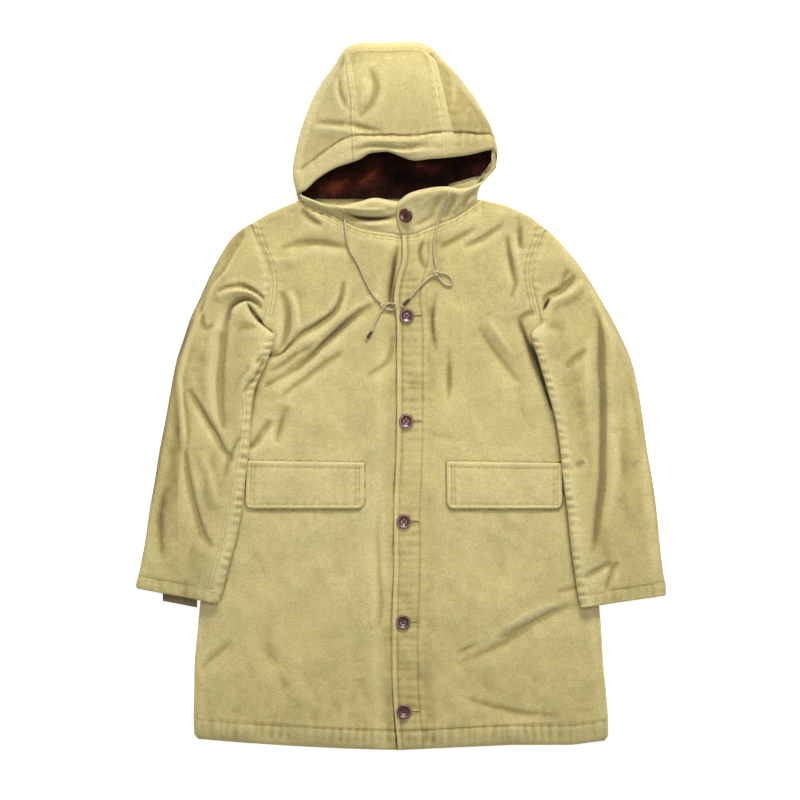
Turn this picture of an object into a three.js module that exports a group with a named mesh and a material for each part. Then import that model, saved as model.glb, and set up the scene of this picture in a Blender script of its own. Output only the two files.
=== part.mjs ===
// A deck parka laid flat on its back: fronts buttoned, sleeves beside the body,
// hood pushed back over the floor with its mouth open towards the hem.
// Millimetres, +Z up. +Y runs from the hem to the hood and -X is the wearer's right.
// The origin is on the floor under the middle of the whole garment.

import * as THREE from 'three';

// Cloth and seams

const LINED = 8;          // shell cloth with its pile lining
const HEMMED = 3.6;       // two plies of shell cloth, at hems and seams
const SEAM_GAP = 0.3;     // between pieces that are sewn or lie on each other
const BODY_TOP = 2 * LINED + SEAM_GAP;
const SLEEVE_TUCK = BODY_TOP + 2 * SEAM_GAP;  // height of a sleeve where it lies on the body
const SLEEVE_RAMP = 38;   // length of the sleeve's climb onto the body
const UNDERLAP = 57;      // how far the right front reaches under the left one

// Hard pieces

const BUTTON_DIAMETER = 25;
const BUTTON_THICKNESS = 4.4;
const CORD_DIAMETER = 4.2;
const TIP_DIAMETER = 5;

// Body sections from hem to shoulder. right and left are the side edges of the body,
// which are the armhole seams from y 135 up, and front is the free edge of the left front.

const BODY_ROWS = [
  { y: -550, right: -352, front: -10, left: 352 },
  { y: -499, right: -351, front: -14, left: 348 },
  { y: -448, right: -350, front: -15, left: 343 },
  { y: -397, right: -345, front: -15, left: 340 },
  { y: -346, right: -340, front: -14, left: 335 },
  { y: -295, right: -330, front: -12, left: 326 },
  { y: -244, right: -320, front: -12, left: 318 },
  { y: -193, right: -309, front: -12, left: 309 },
  { y: -142, right: -299, front: -10, left: 299 },
  { y: -91, right: -289, front: -8, left: 289 },
  { y: -40, right: -280, front: -7, left: 279 },
  { y: 11, right: -270, front: -7, left: 269 },
  { y: 62, right: -260, front: -7, left: 257 },
  { y: 105, right: -246, front: -7, left: 245 },
  { y: 135, right: -233, front: -8, left: 238 },
  { y: 164, right: -226, front: -12, left: 231 },
  { y: 198, right: -224, front: -7, left: 224 },
  { y: 232, right: -231, front: 2, left: 226 },
  { y: 266, right: -245, front: 2, left: 238 },
];

// Hem line and top line of the body: x across, y of the edge there

const HEM_LINE = [
  { x: -350, y: -581 }, { x: -270, y: -588 }, { x: -180, y: -594 }, { x: -100, y: -598 },
  { x: -5, y: -601 }, { x: 100, y: -596 }, { x: 190, y: -592 }, { x: 290, y: -592 },
  { x: 352, y: -581 },
];
const SHOULDER_AND_NECK_LINE = [
  { x: -257, y: 290 }, { x: -223, y: 312 }, { x: -172, y: 331 }, { x: -155, y: 322 },
  { x: -129, y: 314 }, { x: -99, y: 298 }, { x: -70, y: 285 }, { x: -44, y: 280 },
  { x: 2, y: 274 }, { x: 24, y: 276 }, { x: 66, y: 293 }, { x: 92, y: 303 },
  { x: 109, y: 314 }, { x: 139, y: 334 }, { x: 180, y: 324 }, { x: 219, y: 306 },
  { x: 250, y: 280 },
];
const BACK_NECK_Y = 333.7;  // the back runs straight across behind the neck

// Sleeve sections. outer is the edge away from the body, inner the edge beside or on it.

const RIGHT_SLEEVE_ROWS = [
  { y: 283, outer: -272, inner: -254.3 },
  { y: 266, outer: -290, inner: -245.3 },
  { y: 232, outer: -311, inner: -231.3 },
  { y: 198, outer: -328, inner: -224.3 },
  { y: 164, outer: -343, inner: -226.3 },
  { y: 135, outer: -357, inner: -233.3 },
  { y: 105, outer: -367, inner: -214 },
  { y: 62, outer: -381, inner: -226 },
  { y: 11, outer: -391, inner: -248 },
  { y: -40, outer: -400, inner: -255 },
  { y: -91, outer: -410, inner: -258 },
  { y: -142, outer: -418, inner: -264 },
  { y: -193, outer: -427, inner: -270 },
  { y: -244, outer: -434, inner: -280 },
  { y: -295, outer: -444, inner: -294 },
  { y: -318, outer: -450, inner: -303, innerY: -332 },
  { y: -326, outer: -449, inner: -310, innerY: -352 },
];
const LEFT_SLEEVE_ROWS = [
  { y: 273, outer: 260, inner: 244.3 },
  { y: 266, outer: 267, inner: 238.3 },
  { y: 232, outer: 296, inner: 226.3 },
  { y: 198, outer: 320, inner: 224.3 },
  { y: 164, outer: 340, inner: 231.3 },
  { y: 135, outer: 357, inner: 238.3 },
  { y: 105, outer: 372, inner: 221 },
  { y: 62, outer: 391, inner: 233 },
  { y: 11, outer: 403, inner: 248 },
  { y: -40, outer: 411, inner: 262 },
  { y: -91, outer: 418, inner: 270 },
  { y: -142, outer: 427, inner: 275 },
  { y: -193, outer: 434, inner: 282 },
  { y: -244, outer: 439, inner: 287 },
  { y: -295, outer: 445, inner: 294 },
  { y: -322, outer: 450, inner: 300, innerY: -337 },
  { y: -338, outer: 450, inner: 305, innerY: -359 },
];
const SLEEVE_HIDDEN_ARMHOLE_Y = 135;  // the sleeve lies beside the body above this line
const CLIMB_START_Y = 150;            // and lies on the body below this one
const POCKET_START_ROW = 8;           // the sleeve's layers part from this row to the cuff
const CUFF_ROWS = 3;                  // unlined rows at the cuff

const KNIT_PROUD = { right: 13, left: -10 };  // of the cuff, so the left one is hidden

// Hood sections from the mouth to the crown. right, seamRight, middle, seamLeft and left
// are the silhouette edge, the panel seam, the middle, the other seam and the other edge.
// The floor columns give the same section where the hood lies on the floor.

const HOOD_ROWS = [
  { right: [-177, 349], seamRight: [-80, 404], middle: [-10, 411], seamLeft: [77, 405],
    left: [163, 419], height: 46, edge: 26, floorRight: -172, floorLeft: 131, floorY: 334 },
  { right: [-184, 397], seamRight: [-82, 438], middle: [-5, 440], seamLeft: [77, 445],
    left: [161, 445], height: 53, edge: 28, floorRight: -183, floorLeft: 154, floorY: 385 },
  { right: [-172, 447], seamRight: [-84, 467], middle: [-5, 471], seamLeft: [72, 472],
    left: [152, 475], height: 59, edge: 30, floorRight: -176, floorLeft: 150, floorY: 440 },
  { right: [-156, 488], seamRight: [-87, 500], middle: [-8, 504], seamLeft: [68, 504],
    left: [131, 502], height: 62, edge: 30, floorRight: -156, floorLeft: 131, floorY: 496 },
  { right: [-138, 528], seamRight: [-92, 535], middle: [-12, 539], seamLeft: [63, 538],
    left: [109, 530], height: 60, edge: 30, floorRight: -138, floorLeft: 109, floorY: 530 },
  { right: [-121, 556], seamRight: [-95, 562], middle: [-15, 569], seamLeft: [56, 569],
    left: [87, 560], height: 52, edge: 30, floorRight: -121, floorLeft: 87, floorY: 558 },
  { right: [-104, 582], seamRight: [-95, 589], middle: [-24, 601], seamLeft: [48, 597],
    left: [60, 584], height: 38, edge: 30, floorRight: -104, floorLeft: 60, floorY: 584 },
];
const HOOD_WALL = 5;
const HOOD_LINING = 6;     // depth of the pile
const LINING_GAP = 0.7;    // between the shell and what lines it
const HOOD_FACING = 2.4;   // cloth strip inside the mouth, where no pile shows
const HOOD_ROLL = 15;      // how far the rounded side edges reach in
const CROWN_ROLL = 17;

// Throat pieces, from the neck seam up to the rolled lip of the hood's mouth.
// under is the height of what the neck seam lies on.

const RIGHT_THROAT_COLUMNS = [
  { seamX: -163, lip: [-167, 339], under: 8.3, lipHeight: 20 },
  { seamX: -140, lip: [-132, 328], under: 8.3, lipHeight: 21 },
  { seamX: -110, lip: [-100, 325], under: 8.3, lipHeight: 21 },
  { seamX: -75, lip: [-70, 331], under: 8.3, lipHeight: 21 },
  { seamX: -42, lip: [-44, 337], under: 8.3, lipHeight: 20 },
  { seamX: 2, lip: [-8, 332], under: 8.3, lipHeight: 9 },
  { seamX: 22, lip: [20, 334], under: 8.3, lipHeight: 9 },
];
const LEFT_THROAT_COLUMNS = [
  { seamX: 2, lip: [-5, 331], under: 12.8, lipHeight: 18.6 },
  { seamX: 24, lip: [15, 345], under: 12.8, lipHeight: 27 },
  { seamX: 56, lip: [50, 354], under: 9.5, lipHeight: 29 },
  { seamX: 70, lip: [80, 356], under: 8.3, lipHeight: 28 },
  { seamX: 90, lip: [100, 353], under: 8.3, lipHeight: 26 },
  { seamX: 112, lip: [119, 356], under: 8.3, lipHeight: 24 },
  { seamX: 131, lip: [134, 362], under: 8.3, lipHeight: 20 },
];
const THROAT_SEAM_THICKNESS = 3.8;
const THROAT_LIP_THICKNESS = 7;

// Largest folds that stand up from the cloth: where each starts, bends and ends,
// its half width and its height

const FRONT_FOLDS = [
  { start: [-35, 170], bend: [-110, 95], end: [-200, 35], width: 34, height: 5 },
  { start: [-190, 170], bend: [-178, 125], end: [-196, 80], width: 26, height: 4 },
  { start: [-212, -60], bend: [-205, -45], end: [-195, -5], width: 26, height: 3 },
  { start: [128, 130], bend: [160, 80], end: [200, 30], width: 30, height: 4 },
  { start: [82, 95], bend: [84, 40], end: [78, -5], width: 24, height: 3 },
  { start: [290, -372], bend: [190, -408], end: [95, -450], width: 32, height: 3 },
  { start: [-212, -385], bend: [-224, -420], end: [-200, -490], width: 30, height: 3 },
];
const SLEEVE_FOLDS = [
  { start: [-282, 262], bend: [-330, 180], end: [-362, 105], width: 24, height: 6 },
  { start: [-316, 0], bend: [-298, -90], end: [-310, -200], width: 24, height: 4 },
  { start: [-384, 30], bend: [-372, -60], end: [-400, -230], width: 22, height: 5 },
  { start: [318, 185], bend: [352, 90], end: [368, -20], width: 24, height: 5 },
  { start: [300, 60], bend: [322, -60], end: [318, -200], width: 24, height: 5 },
  { start: [392, 60], bend: [396, -90], end: [378, -250], width: 24, height: 4 },
];

// Pocket flaps: corners at the top seam and at the loose edge

const FLAP_THICKNESS = 3;
const RIGHT_FLAP = { topRight: [-262, -110], topLeft: [-63, -113], bottom: -191, drop: [-258, -63] };
const LEFT_FLAP = { topRight: [77, -110], topLeft: [274, -113], bottom: -191, drop: [78, 274] };

const FRONT_BUTTONS = [
  { x: 10, y: 137 }, { x: 9, y: -42 }, { x: 5, y: -212 }, { x: 4, y: -383 }, { x: 5, y: -535 },
];
const THROAT_BUTTON = { x: 9, y: 307, clearance: 0.9 };  // off the curved cloth

// Drawcords, from the eyelet on the throat piece to the tip: points chosen by hand

const RIGHT_CORD_ROUTE = [
  [-97, 316], [-95, 292], [-92, 269], [-87, 249], [-75, 229], [-65, 207], [-54, 184],
  [-43, 167], [-30, 154], [-37, 140], [-44, 125], [-49, 111],
];
const RIGHT_TIP_ROUTE = [[-50.5, 109], [-58, 98]];
const LEFT_CORD_ROUTE = [
  [82, 345], [77, 333], [69, 316], [63, 297], [58, 272], [56, 249], [58, 229], [61, 211],
  [49, 202], [36, 191], [25, 179], [14, 166],
];
const LEFT_TIP_ROUTE = [[12.5, 164], [3, 154]];
const CORD_STEP = 9;
const CORD_CLEARANCE = 0.45;

const cloth = new THREE.MeshStandardMaterial({ color: 0xc9b98a, roughness: 0.9, metalness: 0 });
const pile = new THREE.MeshStandardMaterial({ color: 0x3a1d12, roughness: 1, metalness: 0 });
const knit = new THREE.MeshStandardMaterial({ color: 0x5a4c30, roughness: 1, metalness: 0 });
const plastic = new THREE.MeshStandardMaterial({ color: 0x3b1512, roughness: 0.3, metalness: 0 });
const braid = new THREE.MeshStandardMaterial({ color: 0xb3a578, roughness: 0.9, metalness: 0 });
const horn = new THREE.MeshStandardMaterial({ color: 0x2a211c, roughness: 0.4, metalness: 0 });

// Small tools

const mix = (a, b, t) => a + (b - a) * t;
const mixPoint = (p, q, t) => p.map((value, axis) => mix(value, q[axis], t));
const clamp = (value, low, high) => Math.min(high, Math.max(low, value));
const smooth = (t) => t * t * (3 - 2 * t);
const range = (count) => Array.from({ length: count }, (_, index) => index);

// The value of a column of a table at a given key, by straight lines between rows
function lookUp(table, key, at, column) {
  const rising = table[0][key] < table[table.length - 1][key];
  const rows = rising ? table : [...table].reverse();
  const next = clamp(rows.findIndex((row) => row[key] >= at), 1, rows.length - 1);
  const upper = at > rows[rows.length - 1][key] ? rows.length - 1 : next;
  const from = rows[upper - 1];
  const to = rows[upper];
  const t = clamp((at - from[key]) / (to[key] - from[key]), 0, 1);
  return mix(from[column], to[column], t);
}

// A point at a fractional row of a table whose column holds points
function pointAt(table, position, column) {
  const from = clamp(Math.floor(position), 0, table.length - 2);
  return mixPoint(table[from][column], table[from + 1][column], position - from);
}

function numberAt(table, position, column) {
  const from = clamp(Math.floor(position), 0, table.length - 2);
  return mix(table[from][column], table[from + 1][column], position - from);
}

function distanceToSegment(x, y, p, q) {
  const length = (q[0] - p[0]) ** 2 + (q[1] - p[1]) ** 2;
  const t = clamp(((x - p[0]) * (q[0] - p[0]) + (y - p[1]) * (q[1] - p[1])) / length, 0, 1);
  return Math.hypot(x - mix(p[0], q[0], t), y - mix(p[1], q[1], t));
}

// How high the folds of a table lift the cloth at a place
function foldLift(folds, x, y) {
  const lifts = folds.map(({ start, bend, end, width, height }) => {
    const away = Math.min(distanceToSegment(x, y, start, bend), distanceToSegment(x, y, bend, end));
    return height * smooth(clamp(1 - away / width, 0, 1));
  });
  return Math.max(0, ...lifts);
}

// Closed solids

function solidFrom(points, triangles) {
  const corner = (index) => new THREE.Vector3(...points[index]);
  const volume = triangles.reduce((sum, [a, b, c]) => {
    return sum + corner(a).dot(corner(b).cross(corner(c))) / 6;
  }, 0);
  const outward = volume > 0 ? triangles : triangles.map(([a, b, c]) => [a, c, b]);
  const geometry = new THREE.BufferGeometry();
  geometry.setAttribute('position', new THREE.Float32BufferAttribute(points.flat(), 3));
  geometry.setIndex(outward.flat());
  return geometry.toNonIndexed();
}

// A slab between two grids of points of the same size
function slab(lower, upper) {
  const rows = upper.length;
  const columns = upper[0].length;
  const count = rows * columns;
  const points = [...upper.flat(), ...lower.flat()];
  const triangles = [];
  const quad = (a, b, c, d) => triangles.push([a, b, c], [a, c, d]);
  for (const i of range(rows - 1)) {
    for (const j of range(columns - 1)) {
      const a = i * columns + j;
      quad(a, a + 1, a + columns + 1, a + columns);
      quad(count + a, count + a + columns, count + a + columns + 1, count + a + 1);
    }
  }
  const rim = [
    ...range(columns).map((j) => j),
    ...range(rows).slice(1).map((i) => i * columns + columns - 1),
    ...range(columns).slice(1).map((j) => (rows - 1) * columns + columns - 1 - j),
    ...range(rows).slice(1, -1).map((i) => (rows - 1 - i) * columns),
  ];
  rim.forEach((a, index) => {
    const b = rim[(index + 1) % rim.length];
    quad(a, count + a, count + b, b);
  });
  return solidFrom(points, triangles);
}

// A flattened bag: closed outer rings, closed inner rings, both capped at their first ring
// and joined around the mouth at their last. Point 0 of a ring is one side edge, and the
// points before and after it mirror each other across the two layers.
function bag(outer, inner) {
  const size = outer[0].length;
  const points = [...outer.flat(), ...inner.flat()];
  const triangles = [];
  const quad = (a, b, c, d) => triangles.push([a, b, c], [a, c, d]);
  const innerStart = outer.length * size;
  const skin = (start, rings, flip) => {
    for (const k of range(rings - 1)) {
      for (const i of range(size)) {
        const a = start + k * size + i;
        const b = start + k * size + ((i + 1) % size);
        if (flip) quad(b, b + size, a + size, a);
        else quad(b, a, a + size, b + size);
      }
    }
  };
  const cap = (start, flip) => {
    for (const i of range(size / 2)) {
      const corners = [i, i + 1, size - i - 1, (size - i) % size];
      const loop = corners.filter((corner, place) => corners.indexOf(corner) === place);
      const fan = flip ? loop.reverse() : loop;
      fan.slice(1, -1).forEach((corner, place) => {
        triangles.push([start + fan[0], start + corner, start + fan[place + 2]]);
      });
    }
  };
  skin(0, outer.length, false);
  cap(0, false);
  skin(innerStart, inner.length, true);
  cap(innerStart, true);
  const outerRim = (outer.length - 1) * size;
  const innerRim = innerStart + (inner.length - 1) * size;
  for (const i of range(size)) {
    const j = (i + 1) % size;
    quad(outerRim + i, innerRim + i, innerRim + j, outerRim + j);
  }
  return solidFrom(points, triangles);
}

// The height of the cloth at a place, read off the solids that lie there
function heightOn(geometries, x, y) {
  let height = -Infinity;
  for (const geometry of geometries) {
    const position = geometry.getAttribute('position');
    for (let k = 0; k < position.count; k += 3) {
      const corners = [k, k + 1, k + 2].map((i) => new THREE.Vector3().fromBufferAttribute(position, i));
      const [a, b, c] = corners;
      const area = (b.x - a.x) * (c.y - a.y) - (c.x - a.x) * (b.y - a.y);
      if (area < 1e-6) continue;
      const s = ((b.x - x) * (c.y - y) - (c.x - x) * (b.y - y)) / area;
      const t = ((c.x - x) * (a.y - y) - (a.x - x) * (c.y - y)) / area;
      if (s < -1e-6 || t < -1e-6 || s + t > 1 + 1e-6) continue;
      height = Math.max(height, s * a.z + t * b.z + (1 - s - t) * c.z);
    }
  }
  return height;
}

const garment = new THREE.Group();

function addPiece(name, geometry, material) {
  const mesh = new THREE.Mesh(geometry, material);
  mesh.name = name;
  garment.add(mesh);
  return geometry;
}

// The body's columns run from the right side to the left: the two side edges are thinner,
// and between them the columns follow the free edge of the left front.

const SIDE_STEPS = [0, 14, 45];
const FREE_EDGE = 8;    // column of the left front's free edge
const HIDDEN_EDGE = 9;  // column of the right front's edge, under the left front
const COLUMNS = 18;

function bodyColumns(right, front, left) {
  const beforeFront = front - 40;
  const afterHidden = front + UNDERLAP + 14;
  const rightRun = range(4).map((k) => mix(right + SIDE_STEPS[2], beforeFront, (k + 1) / 5));
  const leftRun = range(4).map((k) => mix(afterHidden, left - SIDE_STEPS[2], (k + 1) / 5));
  return [
    ...SIDE_STEPS.map((step) => right + step),
    ...rightRun,
    beforeFront,
    front,
    front + UNDERLAP,
    afterHidden,
    ...leftRun,
    ...SIDE_STEPS.map((step) => left - step).reverse(),
  ];
}

const TOP_COLUMNS = [
  -257, -240, -212, -172, -140, -110, -75, -42, 2, 56, 70, 90, 112, 139, 170, 210, 237, 250,
];

function bodyGrid(topLine) {
  const hem = bodyColumns(-350, -5, 352).map((x) => [x, lookUp(HEM_LINE, 'x', x, 'y')]);
  const rows = BODY_ROWS.map((row) => bodyColumns(row.right, row.front, row.left).map((x) => [x, row.y]));
  const top = TOP_COLUMNS.map((x) => [x, topLine(x)]);
  const last = rows[rows.length - 1];
  const between = last.map((point, j) => mixPoint(point, top[j], 0.5));
  return [hem, ...rows, between, top];
}

const frontGrid = bodyGrid((x) => lookUp(SHOULDER_AND_NECK_LINE, 'x', x, 'y'));
const backGrid = bodyGrid((x) => {
  const behindNeck = x > -172 && x < 139;
  return behindNeck ? BACK_NECK_Y : lookUp(SHOULDER_AND_NECK_LINE, 'x', x, 'y');
});
const BACK_COLUMNS = [0, 1, 2, 3, 5, 8, 11, 13, 15, 16, 17];

const isSide = (j) => j === 0 || j === COLUMNS - 1;
const backTop = (i, j) => (isSide(j) || i === 0 ? HEMMED : LINED);

function layer(grid, columns, heightAt) {
  return grid.map((row, i) => columns.map((j) => [...row[j], heightAt(i, j, row[j])]));
}

function addBack() {
  const floor = layer(backGrid, BACK_COLUMNS, () => 0);
  const top = layer(backGrid, BACK_COLUMNS, backTop);
  return addPiece('back', slab(floor, top), cloth);
}

// Folds lift a front off the back, and leave its edges where they are sewn
function frontLift(i, j, [x, y]) {
  const free = i > 0 && i < frontGrid.length - 2 && j > 2 && j < COLUMNS - 3;
  return free && Math.abs(j - 8.5) > 1 ? foldLift(FRONT_FOLDS, x, y) : 0;
}

function frontThickness(i, j) {
  if (isSide(j) || i === 0) return HEMMED;
  return i === frontGrid.length - 1 ? HEMMED + 1 : LINED;
}

const rightFrontFloor = (i, j, place) => backTop(i, j) + SEAM_GAP + frontLift(i, j, place);

function rightFrontTop(i, j, place) {
  const facing = j >= FREE_EDGE ? HEMMED : frontThickness(i, j);
  return rightFrontFloor(i, j, place) + facing;
}

function leftFrontFloor(i, j, place) {
  if (j <= HIDDEN_EDGE) return rightFrontTop(i, j, place) + SEAM_GAP;
  return backTop(i, j) + SEAM_GAP + frontLift(i, j, place);
}

function leftFrontTop(i, j, place) {
  const facing = j <= HIDDEN_EDGE ? HEMMED : frontThickness(i, j);
  return leftFrontFloor(i, j, place) + facing;
}

function addFronts() {
  const rightColumns = range(HIDDEN_EDGE + 1);
  const leftColumns = range(COLUMNS).slice(FREE_EDGE);
  const rightFloor = layer(frontGrid, rightColumns, rightFrontFloor);
  const leftFloor = layer(frontGrid, leftColumns, leftFrontFloor);
  const right = slab(rightFloor, layer(frontGrid, rightColumns, rightFrontTop));
  const left = slab(leftFloor, layer(frontGrid, leftColumns, leftFrontTop));
  addPiece('front_right', right, cloth);
  addPiece('front_left', left, cloth);
  return [right, left];
}

// Sleeves: flattened tubes that climb from the floor onto the side of the body

const SLEEVE_HEIGHT = 2 * LINED + 2 * SEAM_GAP;
const CUFF_HEIGHT = 15;
const SLEEVE_EDGE = 9;    // how far a rolled edge reaches in

// The columns of a sleeve section, from the outer edge to the inner one, for the wearer's
// left sleeve, whose body edge lies at bodyEdge
function sleeveColumns(outer, inner, bodyEdge, besideBody) {
  const width = outer - inner;
  const edge = Math.min(SLEEVE_EDGE, width * 0.2);
  const climbEnd = besideBody ? inner + edge * 1.5 : Math.max(bodyEdge + 2, inner + edge * 1.5);
  const ramp = Math.min(SLEEVE_RAMP, (outer - edge - climbEnd) * 0.5);
  const flat = outer - edge;
  const foot = climbEnd + ramp;
  return [
    outer, flat, mix(flat, foot, 0.34), mix(flat, foot, 0.67), foot,
    mix(foot, climbEnd, 0.5), climbEnd, inner + edge, inner,
  ];
}

// One section of a sleeve: where its columns lie, how high each lies, and its walls
function sleeveSection(rows, index, side, bodyColumn) {
  const row = rows[index];
  const nearCuff = clamp((index - rows.length + CUFF_ROWS + 2) / 2, 0, 1);
  const outer = row.outer * side;
  const inner = row.inner * side;
  const narrow = clamp((outer - inner) / 60, 0.45, 1);
  const bodyEdge = lookUp(BODY_ROWS, 'y', row.y, bodyColumn) * side;
  const xs = sleeveColumns(outer, inner, bodyEdge, row.y >= SLEEVE_HIDDEN_ARMHOLE_Y);
  const climb = row.y > CLIMB_START_Y ? 0 : SLEEVE_TUCK;
  const innerY = row.innerY ?? row.y;
  return {
    outer,
    inner,
    xs,
    ys: xs.map((x) => mix(row.y, innerY, (outer - x) / (outer - inner))),
    rise: xs.map((_, j) => climb * smooth(clamp((j - 4) / 2, 0, 1))),
    wall: mix(LINED, HEMMED + 0.4, nearCuff),
    height: mix(SLEEVE_HEIGHT, CUFF_HEIGHT, nearCuff) * narrow,
    lift: xs.map((x, j) => (j < 2 || j > 6 ? 0 : foldLift(SLEEVE_FOLDS, x * side, row.y) * narrow)),
  };
}

function sleeveRing(section, side, isPocket) {
  const { outer, inner, xs, ys, rise, height, lift } = section;
  const inset = isPocket ? section.wall : 0;
  const last = xs.length - 1;
  const middles = range(last).slice(1);
  const place = (j, z) => [clamp(xs[j], inner + inset, outer - inset) * side, ys[j], z];
  return [
    place(0, rise[0] + height / 2),
    ...middles.map((j) => place(j, rise[j] + inset)),
    place(last, rise[last] + height / 2),
    ...middles.reverse().map((j) => place(j, rise[j] + height - inset + lift[j])),
  ];
}

function addSleeve(name, rows, side, bodyColumn) {
  const sections = rows.map((_, index) => sleeveSection(rows, index, side, bodyColumn));
  const outer = sections.map((section) => sleeveRing(section, side, false));
  const pocket = sections.slice(POCKET_START_ROW).map((section) => sleeveRing(section, side, true));
  return addPiece(name, bag(outer, pocket), cloth);
}

// Knitted storm cuffs lie between the layers of the sleeve end, on the same columns.
// proud is how far the knit comes out past the cuff.

const KNIT_WALL = 2.2;
const KNIT_HEIGHT = 5.4;
const KNIT_FIRST_COLUMN = 2;
const KNIT_LAST_COLUMN = 6;

function addKnitCuff(name, rows, side, bodyColumn, proud) {
  const clear = (CUFF_HEIGHT - KNIT_HEIGHT) / 2;
  const sections = range(CUFF_ROWS).map((k) => {
    return sleeveSection(rows, rows.length - CUFF_ROWS + k, side, bodyColumn);
  });
  const end = sections[CUFF_ROWS - 1];
  if (proud > 0) sections.push({ ...end, ys: end.ys.map((y) => y - proud) });
  else end.ys = end.ys.map((y) => y - proud);
  const ringAt = (section, inset) => {
    const columns = range(KNIT_LAST_COLUMN + 1).slice(KNIT_FIRST_COLUMN);
    const high = section.xs[KNIT_FIRST_COLUMN] - inset;
    const low = section.xs[KNIT_LAST_COLUMN] + inset;
    const place = (j, z) => {
      return [clamp(section.xs[j], low, high) * side, section.ys[j], section.rise[j] + clear + z];
    };
    const middles = columns.slice(1, -1);
    return [
      place(KNIT_FIRST_COLUMN, KNIT_HEIGHT / 2),
      ...middles.map((j) => place(j, inset)),
      place(KNIT_LAST_COLUMN, KNIT_HEIGHT / 2),
      ...middles.reverse().map((j) => place(j, KNIT_HEIGHT - inset)),
    ];
  };
  const outer = sections.map((section) => ringAt(section, 0));
  const hollow = sections.slice(1).map((section) => ringAt(section, KNIT_WALL));
  return addPiece(name, bag(outer, hollow), knit);
}

// The hood is a flattened pouch. hoodSection gives the loop around it at a place between
// mouth and crown: over the top from right to left, around the left edge, back along the
// floor and around the right edge. An inset moves the loop inwards through the wall.

const TOP_STEPS = 9;      // points across the top, the seams are the 4th and the 7th
const SEAM_RIGHT = 3;
const SEAM_LEFT = 6;
const ROLL_ANGLES = [55, 0, -55];

function hoodEdge(position, floorPosition, inset, side) {
  const column = side < 0 ? 'right' : 'left';
  const seam = pointAt(HOOD_ROWS, position, side < 0 ? 'seamRight' : 'seamLeft');
  const top = pointAt(HOOD_ROWS, position, column);
  const floorX = numberAt(HOOD_ROWS, floorPosition, side < 0 ? 'floorRight' : 'floorLeft');
  const floorY = numberAt(HOOD_ROWS, floorPosition, 'floorY');
  const half = numberAt(HOOD_ROWS, position, 'edge') / 2;
  const reach = Math.min(HOOD_ROLL, Math.abs(seam[0] - top[0]) * 0.6);
  return { top, floorX, floorY, half, reach, shrink: (half - inset) / half };
}

function hoodSection(position, floorPosition, inset) {
  const height = numberAt(HOOD_ROWS, position, 'height');
  const right = hoodEdge(position, floorPosition, inset, -1);
  const left = hoodEdge(position, floorPosition, inset, 1);
  const seamRight = pointAt(HOOD_ROWS, position, 'seamRight');
  const middle = pointAt(HOOD_ROWS, position, 'middle');
  const seamLeft = pointAt(HOOD_ROWS, position, 'seamLeft');
  const start = [right.top[0] + right.reach, right.top[1]];
  const end = [left.top[0] - left.reach, left.top[1]];
  const outline = [
    start, mixPoint(start, seamRight, 0.33), mixPoint(start, seamRight, 0.67),
    seamRight, mixPoint(seamRight, middle, 0.67), mixPoint(middle, seamLeft, 0.33),
    seamLeft, mixPoint(seamLeft, end, 0.5), end,
  ];
  const centre = (start[0] + end[0]) / 2;
  const halfWidth = (end[0] - start[0]) / 2;
  const top = outline.map(([x, y]) => {
    const across = clamp(Math.abs(x - centre) / halfWidth, 0, 1);
    return [x, y, mix(height, 2 * right.half, across ** 2.4) - inset];
  });
  const roll = (edge, side) => ROLL_ANGLES.map((degrees) => {
    const angle = THREE.MathUtils.degToRad(degrees);
    const down = (90 - degrees) / 180;
    const x = mix(edge.top[0], edge.floorX, down) - side * edge.reach;
    const y = mix(edge.top[1], edge.floorY, down);
    const reach = edge.reach * edge.shrink;
    return [x + side * reach * Math.cos(angle), y, edge.half + (edge.half - inset) * Math.sin(angle)];
  });
  const floorStart = [left.floorX - left.reach, left.floorY];
  const floorEnd = [right.floorX + right.reach, right.floorY];
  const floorSeamLeft = [clamp(seamLeft[0], floorEnd[0] + 2, floorStart[0] - 2), left.floorY];
  const floorSeamRight = [seamRight[0], right.floorY];
  const floorOutline = [
    floorStart, mixPoint(floorStart, floorSeamLeft, 0.5), floorSeamLeft,
    mixPoint(floorSeamLeft, floorSeamRight, 0.33), mixPoint(floorSeamLeft, floorSeamRight, 0.67),
    floorSeamRight, mixPoint(floorSeamRight, floorEnd, 0.33), mixPoint(floorSeamRight, floorEnd, 0.67),
    floorEnd,
  ];
  const floor = floorOutline.map(([x, y]) => [x, y, inset]);
  return { top, floor, rollLeft: roll(left, 1), rollRight: roll(right, -1).reverse() };
}

const HOOD_STATIONS = [0, 1, 2, 3, 4, 5];
const CROWN_STATION = 5.55;

// Side panels: around the rounded edge, between the seam on the floor and the one on top
function hoodSideLayer(side, inset) {
  return [...HOOD_STATIONS, CROWN_STATION].map((station) => {
    const { top, floor, rollLeft, rollRight } = hoodSection(station, station, inset);
    const right = [...floor.slice(TOP_STEPS - 1 - SEAM_RIGHT), ...rollRight, ...top.slice(0, SEAM_RIGHT + 1)];
    const left = [...top.slice(SEAM_LEFT), ...rollLeft, ...floor.slice(0, TOP_STEPS - SEAM_LEFT)];
    return (side < 0 ? right : left).map(([x, y, z]) => [x + side * SEAM_GAP, y, z]);
  });
}

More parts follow.
